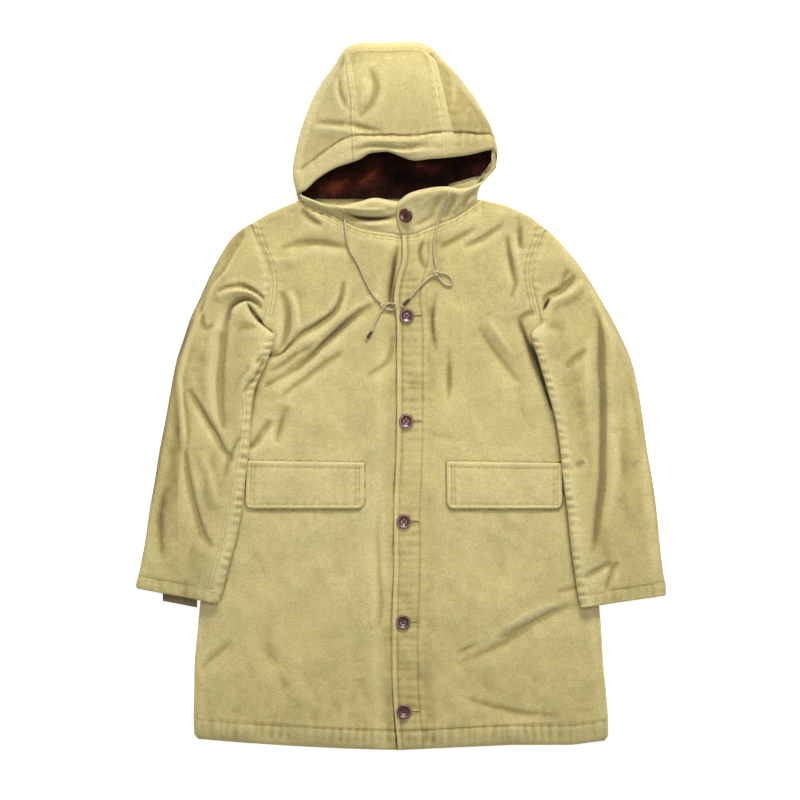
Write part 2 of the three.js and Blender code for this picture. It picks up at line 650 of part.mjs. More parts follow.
// The centre panel runs over the top, around the crown and back along the floor
function hoodCentreLayer(inset) {
  const over = HOOD_STATIONS.map((station) => {
    return hoodSection(station, station, inset).top.slice(SEAM_RIGHT, SEAM_LEFT + 1);
  });
  const under = HOOD_STATIONS.map((station) => {
    const floor = hoodSection(station, station, inset).floor;
    return floor.slice(TOP_STEPS - 1 - SEAM_LEFT, TOP_STEPS - SEAM_RIGHT).reverse();
  });
  const lastStation = HOOD_ROWS.length - 1;
  const crownLine = hoodSection(lastStation, lastStation, 0).top.slice(SEAM_RIGHT, SEAM_LEFT + 1);
  const half = HOOD_ROWS[lastStation].height / 2;
  const crown = [90, 45, 0, -45, -90].map((degrees) => {
    const angle = THREE.MathUtils.degToRad(degrees);
    return crownLine.map(([x, y]) => [
      x,
      y - CROWN_ROLL + (CROWN_ROLL - inset) * Math.cos(angle),
      half + (half - inset) * Math.sin(angle),
    ]);
  });
  return [...over, ...crown, ...under.reverse()];
}

function addHoodShell() {
  return [
    addPiece('hood_centre', slab(hoodCentreLayer(HOOD_WALL), hoodCentreLayer(0)), cloth),
    addPiece('hood_side_right', slab(hoodSideLayer(-1, HOOD_WALL), hoodSideLayer(-1, 0)), cloth),
    addPiece('hood_side_left', slab(hoodSideLayer(1, HOOD_WALL), hoodSideLayer(1, 0)), cloth),
  ];
}

const FACING_DEPTH = 0.75;  // in hood sections, from the mouth

function addHoodFacing() {
  const layerAt = (inset) => [0.03, FACING_DEPTH].map((station) => {
    const section = hoodSection(station, station, inset);
    return section.top;
  });
  const outside = HOOD_WALL + LINING_GAP;
  return addPiece('hood_facing', slab(layerAt(outside + HOOD_FACING), layerAt(outside)), cloth);
}

// The pile lining: its upper layer starts behind the facing, its floor at the nape
const LINING_RINGS = [
  { roof: 5, floor: 5 }, { roof: 4, floor: 4 }, { roof: 3, floor: 3 },
  { roof: 2, floor: 2 }, { roof: 1.5, floor: 1 }, { roof: 1, floor: 0.03 },
];

function addHoodLining() {
  const ringsAt = (inset, from) => LINING_RINGS.slice(from).map(({ roof, floor }) => {
    const over = hoodSection(roof, roof, inset);
    const under = hoodSection(floor, floor, inset);
    return [
      over.rollRight[1], over.rollRight[2], ...over.top, ...over.rollLeft, ...under.floor, over.rollRight[0],
    ];
  });
  const outside = HOOD_WALL + LINING_GAP;
  const solid = bag(ringsAt(outside, 0), ringsAt(outside + HOOD_LINING, 1));
  return addPiece('hood_lining', solid, pile);
}

// Throat pieces, leaning from the neck seam to the lip

const NECK_GAP = 1.5 * SEAM_GAP;  // along y, because the seam slants

function neckSeamY(x) {
  const line = frontGrid[frontGrid.length - 1].map(([px, py]) => ({ x: px, y: py }));
  return lookUp(line, 'x', x, 'y');
}

function addThroat(name, columns) {
  const stepsUp = [0, 0.35, 0.75, 1];
  const layerAt = (isTop) => stepsUp.map((t) => columns.map(({ seamX, lip, under, lipHeight }) => {
    const seam = [seamX, neckSeamY(seamX) + NECK_GAP];
    const floor = mix(under, lipHeight, smooth(t) * 0.6 + t * 0.4);
    const thickness = mix(THROAT_SEAM_THICKNESS, THROAT_LIP_THICKNESS, t);
    return [...mixPoint(seam, lip, t), floor + (isTop ? thickness : 0)];
  }));
  return addPiece(name, slab(layerAt(false), layerAt(true)), cloth);
}

// Pocket flaps, made from the points of the fronts under them

function addFlap(name, flap, fronts) {
  const grid = [0, 0.5, 1].map((down) => range(7).map((j) => {
    const across = j / 6;
    const top = mixPoint(flap.topRight, flap.topLeft, across);
    const bottom = [mix(flap.drop[0], flap.drop[1], across), flap.bottom];
    return mixPoint(top, bottom, down);
  }));
  const seat = Math.max(...grid.flat().map(([x, y]) => heightOn(fronts, x, y))) + SEAM_GAP;
  const layerAt = (z) => [...grid].reverse().map((row) => row.map(([x, y]) => [x, y, z]));
  return addPiece(name, slab(layerAt(seat), layerAt(seat + FLAP_THICKNESS)), cloth);
}

// Buttons: turned discs with a raised rim, seated on the cloth under them

function buttonGeometry() {
  const radius = BUTTON_DIAMETER / 2;
  const rim = 3;
  const profile = [
    [0, 0], [radius * 0.8, 0], [radius, BUTTON_THICKNESS * 0.45],
    [radius - 0.8, BUTTON_THICKNESS * 0.9], [radius - 1.8, BUTTON_THICKNESS],
    [radius - rim, BUTTON_THICKNESS * 0.68], [0, BUTTON_THICKNESS * 0.6],
  ];
  const lathe = new THREE.LatheGeometry(profile.map(([x, y]) => new THREE.Vector2(x, y)), 20);
  return lathe.rotateX(Math.PI / 2);
}

function addButton(name, place, under) {
  const rim = range(16).map((k) => {
    const angle = (k / 16) * 2 * Math.PI;
    const radius = BUTTON_DIAMETER / 2;
    return [place.x + radius * Math.cos(angle), place.y + radius * Math.sin(angle)];
  });
  const mesh = new THREE.Mesh(buttonGeometry(), plastic);
  mesh.name = name;
  mesh.position.set(place.x, place.y, Math.max(...rim.map(([x, y]) => heightOn(under, x, y))) + SEAM_GAP);
  garment.add(mesh);
}

// The throat button leans with the cloth, which rolls down to the front edge
function addThroatButton(under) {
  const reach = BUTTON_DIAMETER / 2;
  const { x, y } = THROAT_BUTTON;
  const across = heightOn(under, x + reach, y) - heightOn(under, x - 6, y);
  const along = heightOn(under, x + 6, y + reach) - heightOn(under, x + 6, y - reach);
  const normal = new THREE.Vector3(-across / (reach + 6), -along / (2 * reach), 1).normalize();
  const mesh = new THREE.Mesh(buttonGeometry(), plastic);
  mesh.name = 'button_throat';
  mesh.quaternion.setFromUnitVectors(new THREE.Vector3(0, 0, 1), normal);
  mesh.position.set(x, y, heightOn(under, x, y)).addScaledVector(normal, THROAT_BUTTON.clearance);
  garment.add(mesh);
}

// Drawcords and their tips, lying on the cloth

function polygonSection(diameter, sides) {
  const radius = diameter / 2;
  return new THREE.Shape(range(sides).map((k) => {
    const angle = ((k + 0.5) / sides) * 2 * Math.PI;
    return new THREE.Vector2(radius * Math.cos(angle), radius * Math.sin(angle));
  }));
}

function cordOver(route, diameter, under, step) {
  const places = route.map(([x, y]) => new THREE.Vector3(x, y, 0));
  const plan = new THREE.CatmullRomCurve3(places, false, 'centripetal');
  const count = Math.max(2, Math.round(plan.getLength() / step));
  const reach = diameter * 0.9;
  const around = [[0, 0], [reach, 0], [-reach, 0], [0, reach], [0, -reach]];
  const points = plan.getSpacedPoints(count).map((point) => {
    const heights = around.map(([dx, dy]) => heightOn(under, point.x + dx, point.y + dy));
    return new THREE.Vector3(point.x, point.y, Math.max(...heights) + diameter / 2 + CORD_CLEARANCE);
  });
  const path = new THREE.CatmullRomCurve3(points, false, 'centripetal');
  const settings = { steps: count, extrudePath: path, bevelEnabled: false };
  return new THREE.ExtrudeGeometry(polygonSection(diameter, 8), settings);
}

function addDrawcord(side, route, tipRoute, under) {
  addPiece(`drawcord_${side}`, cordOver(route, CORD_DIAMETER, under, CORD_STEP), braid);
  addPiece(`cord_tip_${side}`, cordOver(tipRoute, TIP_DIAMETER, under, CORD_STEP), horn);
}

// The garment

addBack();
const fronts = addFronts();
addSleeve('sleeve_right', RIGHT_SLEEVE_ROWS, -1, 'right');
addSleeve('sleeve_left', LEFT_SLEEVE_ROWS, 1, 'left');
addKnitCuff('cuff_knit_right', RIGHT_SLEEVE_ROWS, -1, 'right', KNIT_PROUD.right);
addKnitCuff('cuff_knit_left', LEFT_SLEEVE_ROWS, 1, 'left', KNIT_PROUD.left);
addHoodShell();
addHoodFacing();
addHoodLining();
const throatRight = addThroat('throat_right', RIGHT_THROAT_COLUMNS);
const throatLeft = addThroat('throat_left', LEFT_THROAT_COLUMNS);
const throats = [throatRight, throatLeft];
addFlap('pocket_flap_right', RIGHT_FLAP, fronts);
addFlap('pocket_flap_left', LEFT_FLAP, fronts);
FRONT_BUTTONS.forEach((place, index) => addButton(`button_${index + 1}`, place, fronts));
addThroatButton(throats);
addDrawcord('right', RIGHT_CORD_ROUTE, RIGHT_TIP_ROUTE, [...fronts, ...throats]);
addDrawcord('left', LEFT_CORD_ROUTE, LEFT_TIP_ROUTE, [...fronts, ...throats]);

export default garment;
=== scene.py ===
# A deck parka laid flat on its back, seen from straight above: the looks of every piece.
# Tables and sizes are in millimetres, with +Y from the hem to the hood, -X the wearer's right
# and the floor at z 0. Meshes are made in metres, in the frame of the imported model.

import math
from collections import namedtuple

import bpy
import numpy as np
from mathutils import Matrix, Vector
from mathutils.bvhtree import BVHTree


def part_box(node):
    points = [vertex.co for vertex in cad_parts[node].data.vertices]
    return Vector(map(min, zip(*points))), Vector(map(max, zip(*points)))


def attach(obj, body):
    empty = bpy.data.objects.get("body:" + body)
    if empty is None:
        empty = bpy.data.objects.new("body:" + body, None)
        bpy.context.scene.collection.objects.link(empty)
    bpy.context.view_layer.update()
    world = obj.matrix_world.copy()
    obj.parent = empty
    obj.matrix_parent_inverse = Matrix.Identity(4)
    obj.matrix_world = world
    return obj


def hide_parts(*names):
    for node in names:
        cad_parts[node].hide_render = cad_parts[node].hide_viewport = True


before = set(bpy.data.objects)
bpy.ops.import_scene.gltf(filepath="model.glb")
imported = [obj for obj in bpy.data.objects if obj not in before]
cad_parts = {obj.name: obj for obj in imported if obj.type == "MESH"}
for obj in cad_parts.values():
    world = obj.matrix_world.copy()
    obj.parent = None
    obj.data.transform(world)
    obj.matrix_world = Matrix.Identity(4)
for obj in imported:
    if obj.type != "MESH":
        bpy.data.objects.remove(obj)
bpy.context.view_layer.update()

MM = 0.001

# Camera, floor and light

VIEW_WIDTH = 1360           # across the square picture
VIEW_CENTRE = (-1.7, -6)
CAMERA_HEIGHT = 10000
SENSOR = 36
FLOOR_SIZE = 30000
FLOOR_LEVEL = -0.4

# Cloth

LINED = 8                   # shell cloth with its pile lining
HEMMED = 3.6                # two plies of shell cloth
GRID = 2.6                  # spacing of a cloth's upper skin
UNDER_STEP = 4              # the under skin has every fourth point of the upper one
UNDERLAP = 57               # of the right front under the left one
BACK_EDGE = 3.4             # height of the back's upper side at the hem
BACK_SWELL = 4.2            # how much higher it is in the middle
SWELL_REACH = 40            # how far in from an edge it has risen
LEAST_FRONT = 5.1           # height of the fronts' upper side at the hem
LEAST_PLY = 1.6             # thinnest cloth at a front's edge

# Body sections from hem to shoulder

BodyRow = namedtuple("BodyRow", "y right front left")
BODY_ROWS = [
    BodyRow(-601, -350, -5, 352), BodyRow(-550, -352, -10, 352), BodyRow(-499, -351, -14, 348),
    BodyRow(-448, -350, -15, 343), BodyRow(-397, -345, -15, 340), BodyRow(-346, -340, -14, 335),
    BodyRow(-295, -330, -12, 326), BodyRow(-244, -320, -12, 318), BodyRow(-193, -309, -12, 309),
    BodyRow(-142, -299, -10, 299), BodyRow(-91, -289, -8, 289), BodyRow(-40, -280, -7, 279),
    BodyRow(11, -270, -7, 269), BodyRow(62, -260, -7, 257), BodyRow(105, -246, -7, 245),
    BodyRow(135, -233, -8, 238), BodyRow(164, -226, -12, 231), BodyRow(198, -224, -7, 224),
    BodyRow(232, -231, 2, 226), BodyRow(266, -245, 2, 238), BodyRow(312, -259, 2, 252),
]

Edge = namedtuple("Edge", "x y")
HEM_LINE = [
    Edge(-353, -571), Edge(-345, -582), Edge(-270, -588), Edge(-180, -594), Edge(-100, -598),
    Edge(-5, -601), Edge(100, -596), Edge(190, -592), Edge(290, -592), Edge(346, -585),
    Edge(354, -574),
]
SHOULDER_AND_NECK_LINE = [
    Edge(-259, 290), Edge(-223, 312), Edge(-172, 333.8), Edge(-155, 322), Edge(-129, 314),
    Edge(-99, 298), Edge(-70, 285), Edge(-44, 280), Edge(2, 274), Edge(24, 276), Edge(66, 293),
    Edge(92, 303), Edge(109, 314), Edge(139, 334), Edge(180, 324), Edge(219, 306), Edge(252, 280),
]
BACK_NECK_LINE = [
    Edge(-259, 290), Edge(-223, 312), Edge(-172, 333.8), Edge(-160, 333.8), Edge(130, 333.7),
    Edge(139, 334), Edge(180, 324), Edge(219, 306), Edge(252, 280),
]

# Sleeve sections from the shoulder to the cuff, with the height of the inner edge where it differs

SleeveRow = namedtuple("SleeveRow", "y outer inner inner_y")
RIGHT_SLEEVE_ROWS = [
    SleeveRow(293, -256.5, -252, 293), SleeveRow(283, -272, -254.3, 283),
    SleeveRow(266, -290, -245.3, 266), SleeveRow(232, -311, -231.3, 232), SleeveRow(198, -328, -224.3, 198),
    SleeveRow(164, -343, -226.3, 164), SleeveRow(135, -357, -233.3, 135),
    SleeveRow(105, -367, -214, 105), SleeveRow(62, -381, -226, 62), SleeveRow(11, -391, -248, 11),
    SleeveRow(-40, -400, -255, -40), SleeveRow(-91, -410, -258, -91),
    SleeveRow(-142, -418, -264, -142), SleeveRow(-193, -427, -270, -193),
    SleeveRow(-244, -434, -280, -244), SleeveRow(-295, -444, -294, -295),
    SleeveRow(-318, -450, -303, -332), SleeveRow(-326, -449, -310, -352),
]
LEFT_SLEEVE_ROWS = [
    SleeveRow(284, 248, 244, 284), SleeveRow(273, 260, 244.3, 273), SleeveRow(266, 267, 238.3, 266),
    SleeveRow(232, 296, 226.3, 232), SleeveRow(198, 320, 224.3, 198),
    SleeveRow(164, 340, 231.3, 164), SleeveRow(135, 357, 238.3, 135),
    SleeveRow(105, 372, 221, 105), SleeveRow(62, 391, 233, 62), SleeveRow(11, 403, 248, 11),
    SleeveRow(-40, 411, 262, -40), SleeveRow(-91, 418, 270, -91),
    SleeveRow(-142, 427, 275, -142), SleeveRow(-193, 434, 282, -193),
    SleeveRow(-244, 439, 287, -244), SleeveRow(-295, 445, 294, -295),
    SleeveRow(-322, 450, 300, -337), SleeveRow(-338, 450, 305, -359),
]
SLEEVE_HEIGHT = 20
CUFF_HEIGHT = 15
SLEEVE_ROLL = 22            # how far a rolled sleeve edge reaches in
ARMHOLE_END = 135           # the sleeve is sewn to the body above this y

# Hood sections from the mouth to the crown, as points (x, y) from the wearer's right to left

HoodRow = namedtuple(
    "HoodRow", "right seam_right middle seam_left left height edge floor_right floor_left floor_y",
)
HOOD_ROWS = [
    HoodRow((-177, 349), (-83, 404), (-10, 411), (78, 405), (166, 419), 46, 26, -172, 131, 334),
    HoodRow((-184, 384), (-85, 438), (-5, 440), (78, 445), (164, 445), 53, 28, -183, 154, 385),
    HoodRow((-173, 444), (-87, 467), (-5, 471), (72, 472), (152, 475), 59, 30, -176, 150, 440),
    HoodRow((-156, 488), (-87, 500), (-8, 504), (68, 504), (131, 502), 62, 30, -156, 131, 496),
    HoodRow((-138, 528), (-92, 535), (-12, 539), (63, 538), (109, 530), 60, 30, -138, 109, 530),
    HoodRow((-121, 556), (-95, 562), (-15, 569), (56, 569), (91, 556), 52, 30, -121, 87, 548),
    HoodRow((-109, 569), (-95, 575), (-24, 585), (46, 580), (74, 569), 40, 30, -107, 62, 568),
]
CROWN = len(HOOD_ROWS) - 1  # the last section
HOOD_WALL = 5
LINING_GAP = 0.7
PILE_DEPTH = 6
CASING_WIDTH = 36           # of the first hood section, which carries the drawcord
FACING_WALL = 2.4
FACING_DEPTH = 0.75         # in hood sections, from the mouth
HOOD_ROLL = 15
CROWN_ROLL = 15.5

# Throat pieces, from the neck seam to the rolled lip

ThroatColumn = namedtuple("ThroatColumn", "seam_x lip under lip_height")
RIGHT_THROAT = [
    ThroatColumn(-168, (-173, 343), 8.3, 19), ThroatColumn(-140, (-132, 328), 8.3, 21),
    ThroatColumn(-110, (-100, 325), 8.3, 21), ThroatColumn(-75, (-70, 331), 8.3, 21),
    ThroatColumn(-42, (-44, 337), 8.3, 20), ThroatColumn(2, (-8, 332), 8.3, 9),
    ThroatColumn(22, (20, 334), 8.3, 9),
]
LEFT_THROAT = [
    ThroatColumn(2, (-5, 331), 12.8, 18.6), ThroatColumn(24, (15, 345), 12.8, 27),
    ThroatColumn(56, (50, 354), 9.5, 29), ThroatColumn(70, (80, 356), 8.3, 28),
    ThroatColumn(90, (100, 353), 8.3, 26), ThroatColumn(112, (120, 357), 8.3, 24),
    ThroatColumn(131, (139, 366), 8.3, 19),
]

Flap = namedtuple("Flap", "top_right top_left bottom drop")
RIGHT_FLAP = Flap((-262, -109), (-62, -112), -191, (-265, -63))
LEFT_FLAP = Flap((77, -110), (274, -113), -191, (78, 274))

# Folds: path across the cloth, how far each reaches to the left and right of its path,
# and its height, which is negative for a trough

Fold = namedtuple("Fold", "path left right height")
RIGHT_FRONT_FOLDS = [
    Fold([(-50, 160), (-75, 141), (-99, 119), (-134, 88), (-159, 63), (-190, 41), (-234, 16)], 9, 15, -6.5),
    Fold([(-35, 172), (-80, 146), (-118, 112), (-148, 80), (-168, 52)], 8, 12, 3.5),
    Fold([
        (-99, 198), (-100, 178), (-112, 147), (-141, 124), (-172, 105), (-191, 86), (-203, 74), (-226, 68),
    ], 10, 4.5, -5),
    Fold([(-88, 200), (-92, 172), (-103, 140), (-132, 108), (-165, 84)], 7, 10, 2.5),
    Fold([(-204, 181), (-194, 156), (-192, 122), (-201, 88), (-226, 66)], 8, 10, -5),
    Fold([(-192, 180), (-180, 150), (-178, 118), (-190, 88)], 9, 8, 3),
    Fold([(-206, 252), (-172, 259), (-146, 261), (-87, 252)], 12, 7, -3.5),
    Fold([(-170, 319), (-155, 303), (-134, 290)], 6, 6, -3.5),
    Fold([(-164, 322), (-148, 308), (-126, 296)], 6, 6, 2.5),
    Fold([(-14, 105), (-22, 62), (-61, 33)], 9, 7, -2),
    Fold([(-3, 268), (-8, 240), (-13, 205), (-18, 165), (-17, 135)], 5, 13, -1.9),
    Fold([(-209, -6), (-189, 11), (-155, 37), (-121, 62), (-95, 79)], 7, 9, -3),
    Fold([(-226, 42), (-205, 52), (-180, 70), (-150, 88)], 8, 9, -3.5),
    Fold([(-257, -91), (-236, -65), (-220, -40)], 11, 8, -6),
    Fold([(-214, -82), (-204, -50), (-194, -14)], 18, 16, -3),
    Fold([(-39, -176), (-39, -244), (-36, -310), (-34, -363), (-39, -388), (-66, -397)], 7, 12, -1.8),
    Fold([(-346, -470), (-320, -442), (-285, -415)], 10, 16, -2),
    Fold([(-219, -370), (-226, -414), (-209, -456), (-196, -520)], 22, 28, -1.8),
    Fold([(-250, 240), (-215, 232), (-160, 238)], 12, 14, 1.5),
    Fold([(-150, -230), (-120, -260), (-100, -310)], 26, 30, -1.6),
    Fold([(-90, -420), (-70, -470), (-85, -530)], 24, 30, -1.1),
]
LEFT_FRONT_FOLDS = [
    Fold([(198, 140), (205, 118), (213, 97), (228, 62), (242, 26), (252, -6), (258, -26)], 9, 12, -6),
    Fold([(66, 252), (92, 266), (129, 288)], 7, 7, -2.5),
    Fold([(104, 254), (134, 266), (160, 283), (177, 297)], 7, 8, -3),
    Fold([(180, 275), (184, 241), (189, 215), (194, 190), (185, 164)], 8, 8, -3.5),
    Fold([(192, 278), (196, 240), (201, 212), (204, 190)], 7, 7, 2.5),
    Fold([(199, 309), (202, 280), (202, 249)], 12, 12, -3),
    Fold([(202, 133), (219, 142), (238, 147)], 6, 7, -3),
    Fold([(131, 122), (151, 88), (177, 54), (211, 11)], 12, 16, -3.5),
    Fold([(146, 136), (168, 100), (194, 64)], 12, 9, 2.5),
    Fold([(61, 181), (54, 130), (61, 71)], 9, 10, -1.6),
    Fold([(82, 88), (82, 45), (80, -6)], 9, 9, -2),
    Fold([(40, -62), (110, -76)], 9, 9, -0.9),
    Fold([(39, 269), (32, 241), (41, 215)], 6, 6, -2.5),
    Fold([(300, -352), (262, -364), (222, -384), (196, -396), (160, -412)], 14, 9, -2.6),
    Fold([(226, -392), (190, -410), (150, -430), (92, -453)], 16, 11, -2),
    Fold([(280, -344), (240, -360), (200, -380), (150, -410)], 12, 12, 1.4),
    Fold([(92, -436), (112, -428), (132, -420)], 6, 6, -1.2),
    Fold([(100, -507), (151, -524), (202, -536), (270, -541)], 9, 9, -1.5),
    Fold([(262, -332), (306, -322)], 6, 7, -1.2),
    Fold([(150, -230), (170, -270), (160, -320)], 26, 28, -1.5),
    Fold([(230, -60), (205, -20), (200, 20)], 18, 20, -2),
]
RIGHT_SLEEVE_RIDGE = [
    (-262, 270), (-276, 248), (-296, 212), (-318, 186), (-332, 153), (-351, 115), (-366, 72),
    (-375, 34), (-371, -38), (-368, -90), (-374, -150),
]
RIGHT_SLEEVE_FOLDS = [
    Fold([(-312, 178), (-296, 185), (-274, 187), (-252, 180), (-232, 164), (-226, 146)], 3.5, 5, -5.5),
    Fold([(-282, 195), (-262, 188), (-244, 176)], 3, 4, -2.5),
    Fold([(-312, 166), (-296, 176), (-270, 179), (-246, 170), (-230, 152)], 6, 8, 4.5),
    Fold([
        (-300, 112), (-294, 131), (-287, 150), (-275, 160), (-260, 164), (-246, 157), (-234, 145),
    ], 10, 3.5, -9),
    Fold([(-262, 160), (-251, 142), (-234, 123), (-222, 113), (-208, 102)], 2.6, 2.6, -15),
    Fold([(-288, 140), (-298, 113), (-304, 62), (-308, 11), (-305, -31), (-300, -60)], 12, 8, -6.5),
    Fold([(-296, 140), (-318, 100), (-324, 50), (-325, 0), (-318, -50)], 10, 12, 3.5),
    Fold([(-325, 170), (-338, 140), (-332, 116), (-316, 122)], 5, 5, -3),
    Fold(RIGHT_SLEEVE_RIDGE, 3.5, 3.5, 2.4),
    Fold([(-379, 37), (-374, -6), (-369, -57), (-374, -120)], 5, 9, 2),
    Fold([(-360, 15), (-340, -20), (-316, -60), (-299, -91), (-282, -113)], 5, 8, -5.5),
    Fold([(-371, -74), (-362, -125), (-350, -184), (-333, -235), (-316, -258)], 6, 9, -4.5),
    Fold([(-340, -90), (-322, -140), (-312, -190)], 14, 12, 3),
    Fold([(-236, 68), (-243, 60), (-247, 52)], 3, 3, -4),
    Fold([(-232, 72), (-240, 42), (-257, 20), (-271, 4)], 4, 4, -4.5),
    Fold([(-247, 66), (-252, 44), (-267, 26), (-272, 8)], 5, 4, 3),
    Fold([(-266, -60), (-284, -90), (-300, -140)], 6, 8, -3),
    Fold([(-400, -150), (-408, -220), (-404, -280)], 14, 12, -2.5),
]
LEFT_SLEEVE_FOLDS = [
    Fold([(240, 144), (247, 156), (253, 167)], 3, 3, -10),
    Fold([(236, 152), (245, 167), (270, 181), (296, 207)], 6, 7, -6),
    Fold([(242, 142), (258, 160), (284, 172), (312, 196)], 8, 7, 4),
    Fold([(270, 186), (280, 207), (287, 218)], 6, 6, -2.5),
    Fold([
        (326, 176), (338, 130), (340, 62), (343, -6), (342, -91), (340, -159), (333, -210), (325, -269),
    ], 12, 10, -6.5),
    Fold([(321, 190), (337, 147), (352, 100), (360, 40)], 10, 9, 3.5),
    Fold([(320, 100), (318, 40), (322, -40)], 12, 12, 3),
    Fold([(279, 48), (304, 71), (321, 82)], 6, 7, -2.5),
    Fold([(362, -60), (364, -130), (356, -200)], 12, 12, 3),
    Fold([(304, -309), (338, -292), (359, -281)], 6, 6, -3),
    Fold([(347, -329), (359, -295), (369, -278)], 6, 6, -2.5),
    Fold([(392, 60), (404, -20), (408, -120)], 14, 12, -2),
    Fold([(296, -120), (312, -110)], 6, 6, -2),
]
HOOD_FOLDS = [
    Fold([(-53, 558), (-42, 521), (-48, 499), (-61, 482), (-73, 470)], 10, 12, -4),
    Fold([(-64, 540), (-58, 510), (-66, 490)], 10, 9, 2),
    Fold([(-146, 465), (-95, 460), (-66, 455), (-27, 446)], 7, 8, -3.5),
    Fold([(-150, 455), (-100, 450), (-62, 444)], 8, 8, 2.5),
    Fold([(-104, 547), (-102, 513), (-87, 479)], 5, 6, -3),
    Fold([(-110, 540), (-110, 512), (-98, 480)], 6, 6, 2),
    Fold([(-80, 414), (-53, 422), (-27, 422), (-2, 417), (32, 423), (64, 431)], 4, 4, -3),
    Fold([(-20, 430), (20, 426), (60, 436)], 4, 4, -2.5),
    Fold([(-70, 409), (-40, 415), (-10, 412), (20, 414), (60, 420)], 4, 4, 2),
    Fold([(84, 560), (90, 520), (88, 480)], 14, 14, 1.5),
]
BACK_FOLDS = [
    Fold([(-220, 180), (-120, 100), (-20, 60)], 16, 22, 3),
    Fold([(210, 150), (120, 60), (40, 30)], 18, 16, 3),
    Fold([(-240, -120), (-150, -170), (-60, -160)], 20, 16, 2.5),
    Fold([(260, -220), (160, -290), (70, -300)], 18, 22, 2.5),
    Fold([(-280, -420), (-200, -380), (-110, -400)], 20, 18, 2),
    Fold([(60, -480), (150, -440), (260, -470)], 16, 20, 2),
]

# Drawcords from the eyelet to the tip, in plan

RIGHT_CORD_ROUTE = [
    (-97, 316), (-95, 292), (-92, 269), (-87, 249), (-75, 229), (-65, 207), (-54, 184),
    (-43, 167), (-30, 154), (-37, 140), (-44, 125), (-49, 111),
]
RIGHT_TIP_ROUTE = [(-50.5, 109), (-58, 98)]
LEFT_CORD_ROUTE = [
    (82, 345), (77, 333), (69, 316), (63, 297), (58, 272), (56, 249), (58, 229), (61, 211),
    (49, 202), (36, 191), (25, 179), (14, 166),
]
LEFT_TIP_ROUTE = [(12.5, 164), (3, 154)]
CORD_DIAMETER = 4.2
TIP_DIAMETER = 5

FRONT_BUTTONS = [Edge(10, 137), Edge(9, -42), Edge(5, -212), Edge(4, -383), Edge(5, -535)]
THROAT_BUTTON = Edge(9, 307)


# Numbers along tables and paths


def smooth_step(t):
    t = np.clip(t, 0, 1)
    return t * t * (3 - 2 * t)


def rounded(distance, reach):
    """The quarter circle that a rolled edge follows, 0 at the edge and 1 from reach on."""
    t = np.clip(np.asarray(distance, float) / reach, 0, 1)
    return np.sqrt(np.maximum(0, 1 - (1 - t) ** 2))


def curve_through(keys, values, at):
    """A smooth curve through a table's points, without corners at them."""
    keys = np.asarray(keys, float)
    values = np.asarray(values, float)
    if keys[0] > keys[-1]:
        keys, values = keys[::-1], values[::-1]
    slope = np.gradient(values, keys)
    at = np.clip(at, keys[0], keys[-1])
    k = np.clip(np.searchsorted(keys, at) - 1, 0, len(keys) - 2)
    width = keys[k + 1] - keys[k]
    t = (at - keys[k]) / width
    return (
        (2 * t**3 - 3 * t**2 + 1) * values[k] + (t**3 - 2 * t**2 + t) * width * slope[k]
        + (3 * t**2 - 2 * t**3) * values[k + 1] + (t**3 - t**2) * width * slope[k + 1]
    )


def column(table, name):
    return [getattr(row, name) for row in table]


def along_rows(table, name, position):
    """A column of a table at a fractional row."""
    values = np.asarray(column(table, name), float)
    rows = np.arange(len(table))
    if values.ndim == 1:
        return curve_through(rows, values, position)
    return np.stack([curve_through(rows, values[:, axis], position) for axis in range(2)], -1)


def body_edge(name, y):
    return curve_through(column(BODY_ROWS, "y"), column(BODY_ROWS, name), y)


def line_y(line, x):
    return np.interp(x, column(line, "x"), column(line, "y"))


def from_edges(x, y):
    """How far each place of the body is from its sides, its hem, and its neck and shoulders."""
    side = np.minimum(x - body_edge("right", y), body_edge("left", y) - x)
    return side, y - line_y(HEM_LINE, x), line_y(SHOULDER_AND_NECK_LINE, x) - y


def lengths_along(points, axis=0):
    """How far each point of a path or a grid is from the first one, along the cloth."""
    total = np.cumsum(np.linalg.norm(np.diff(points, axis=axis), axis=-1), axis)
    return np.concatenate([np.zeros_like(np.take(total, [0], axis)), total], axis)


def smooth_path(points, spacing=1.5):
    """Points at an even spacing along a smooth curve through the given ones."""
    points = np.asarray(points, float)
    keys = lengths_along(points)
    count = max(3, int(keys[-1] / spacing) + 1)
    at = np.linspace(0, keys[-1], count)
    if len(points) == 2:
        return np.stack([np.interp(at, keys, points[:, axis]) for axis in range(points.shape[1])], -1)
    return np.stack([curve_through(keys, points[:, axis], at) for axis in range(points.shape[1])], -1)


def edge_spacing(length, spacing, step=UNDER_STEP, rim=(0, 0.35, 1, 2, 3.4)):
    """Places from 0 to 1 along a length, closer together near both ends."""
    rim = [place for place in rim if place < length * 0.3]
    inner = length - 2 * rim[-1]
    count = max(2, round(inner / spacing))
    total = count + 2 * (len(rim) - 1)
    count += -total % step
    middle = np.linspace(rim[-1], length - rim[-1], count + 1)
    places = np.concatenate([rim[:-1], middle, length - np.array(rim[:-1])[::-1]])
    return places / length


# Undulation of the cloth: smooth seeded noise, and listed folds


LATTICE = 256               # points of the noise each way before it repeats
LATTICE_START = (100.37, 100.71)


def undulation(x, y, size, seed):
    """Smooth noise between -1 and 1 whose bumps are about size across."""
    lattice = np.random.default_rng(seed).uniform(-1, 1, (LATTICE, LATTICE))
    gx, gy = x / size + LATTICE_START[0], y / size + LATTICE_START[1]
    ix, iy = np.floor(gx).astype(int), np.floor(gy).astype(int)
    tx, ty = smooth_step(gx - ix), smooth_step(gy - iy)
    low, high = (
        lattice[ix % LATTICE, (iy + dy) % LATTICE] * (1 - tx)
        + lattice[(ix + 1) % LATTICE, (iy + dy) % LATTICE] * tx
        for dy in (0, 1)
    )
    return low * (1 - ty) + high * ty


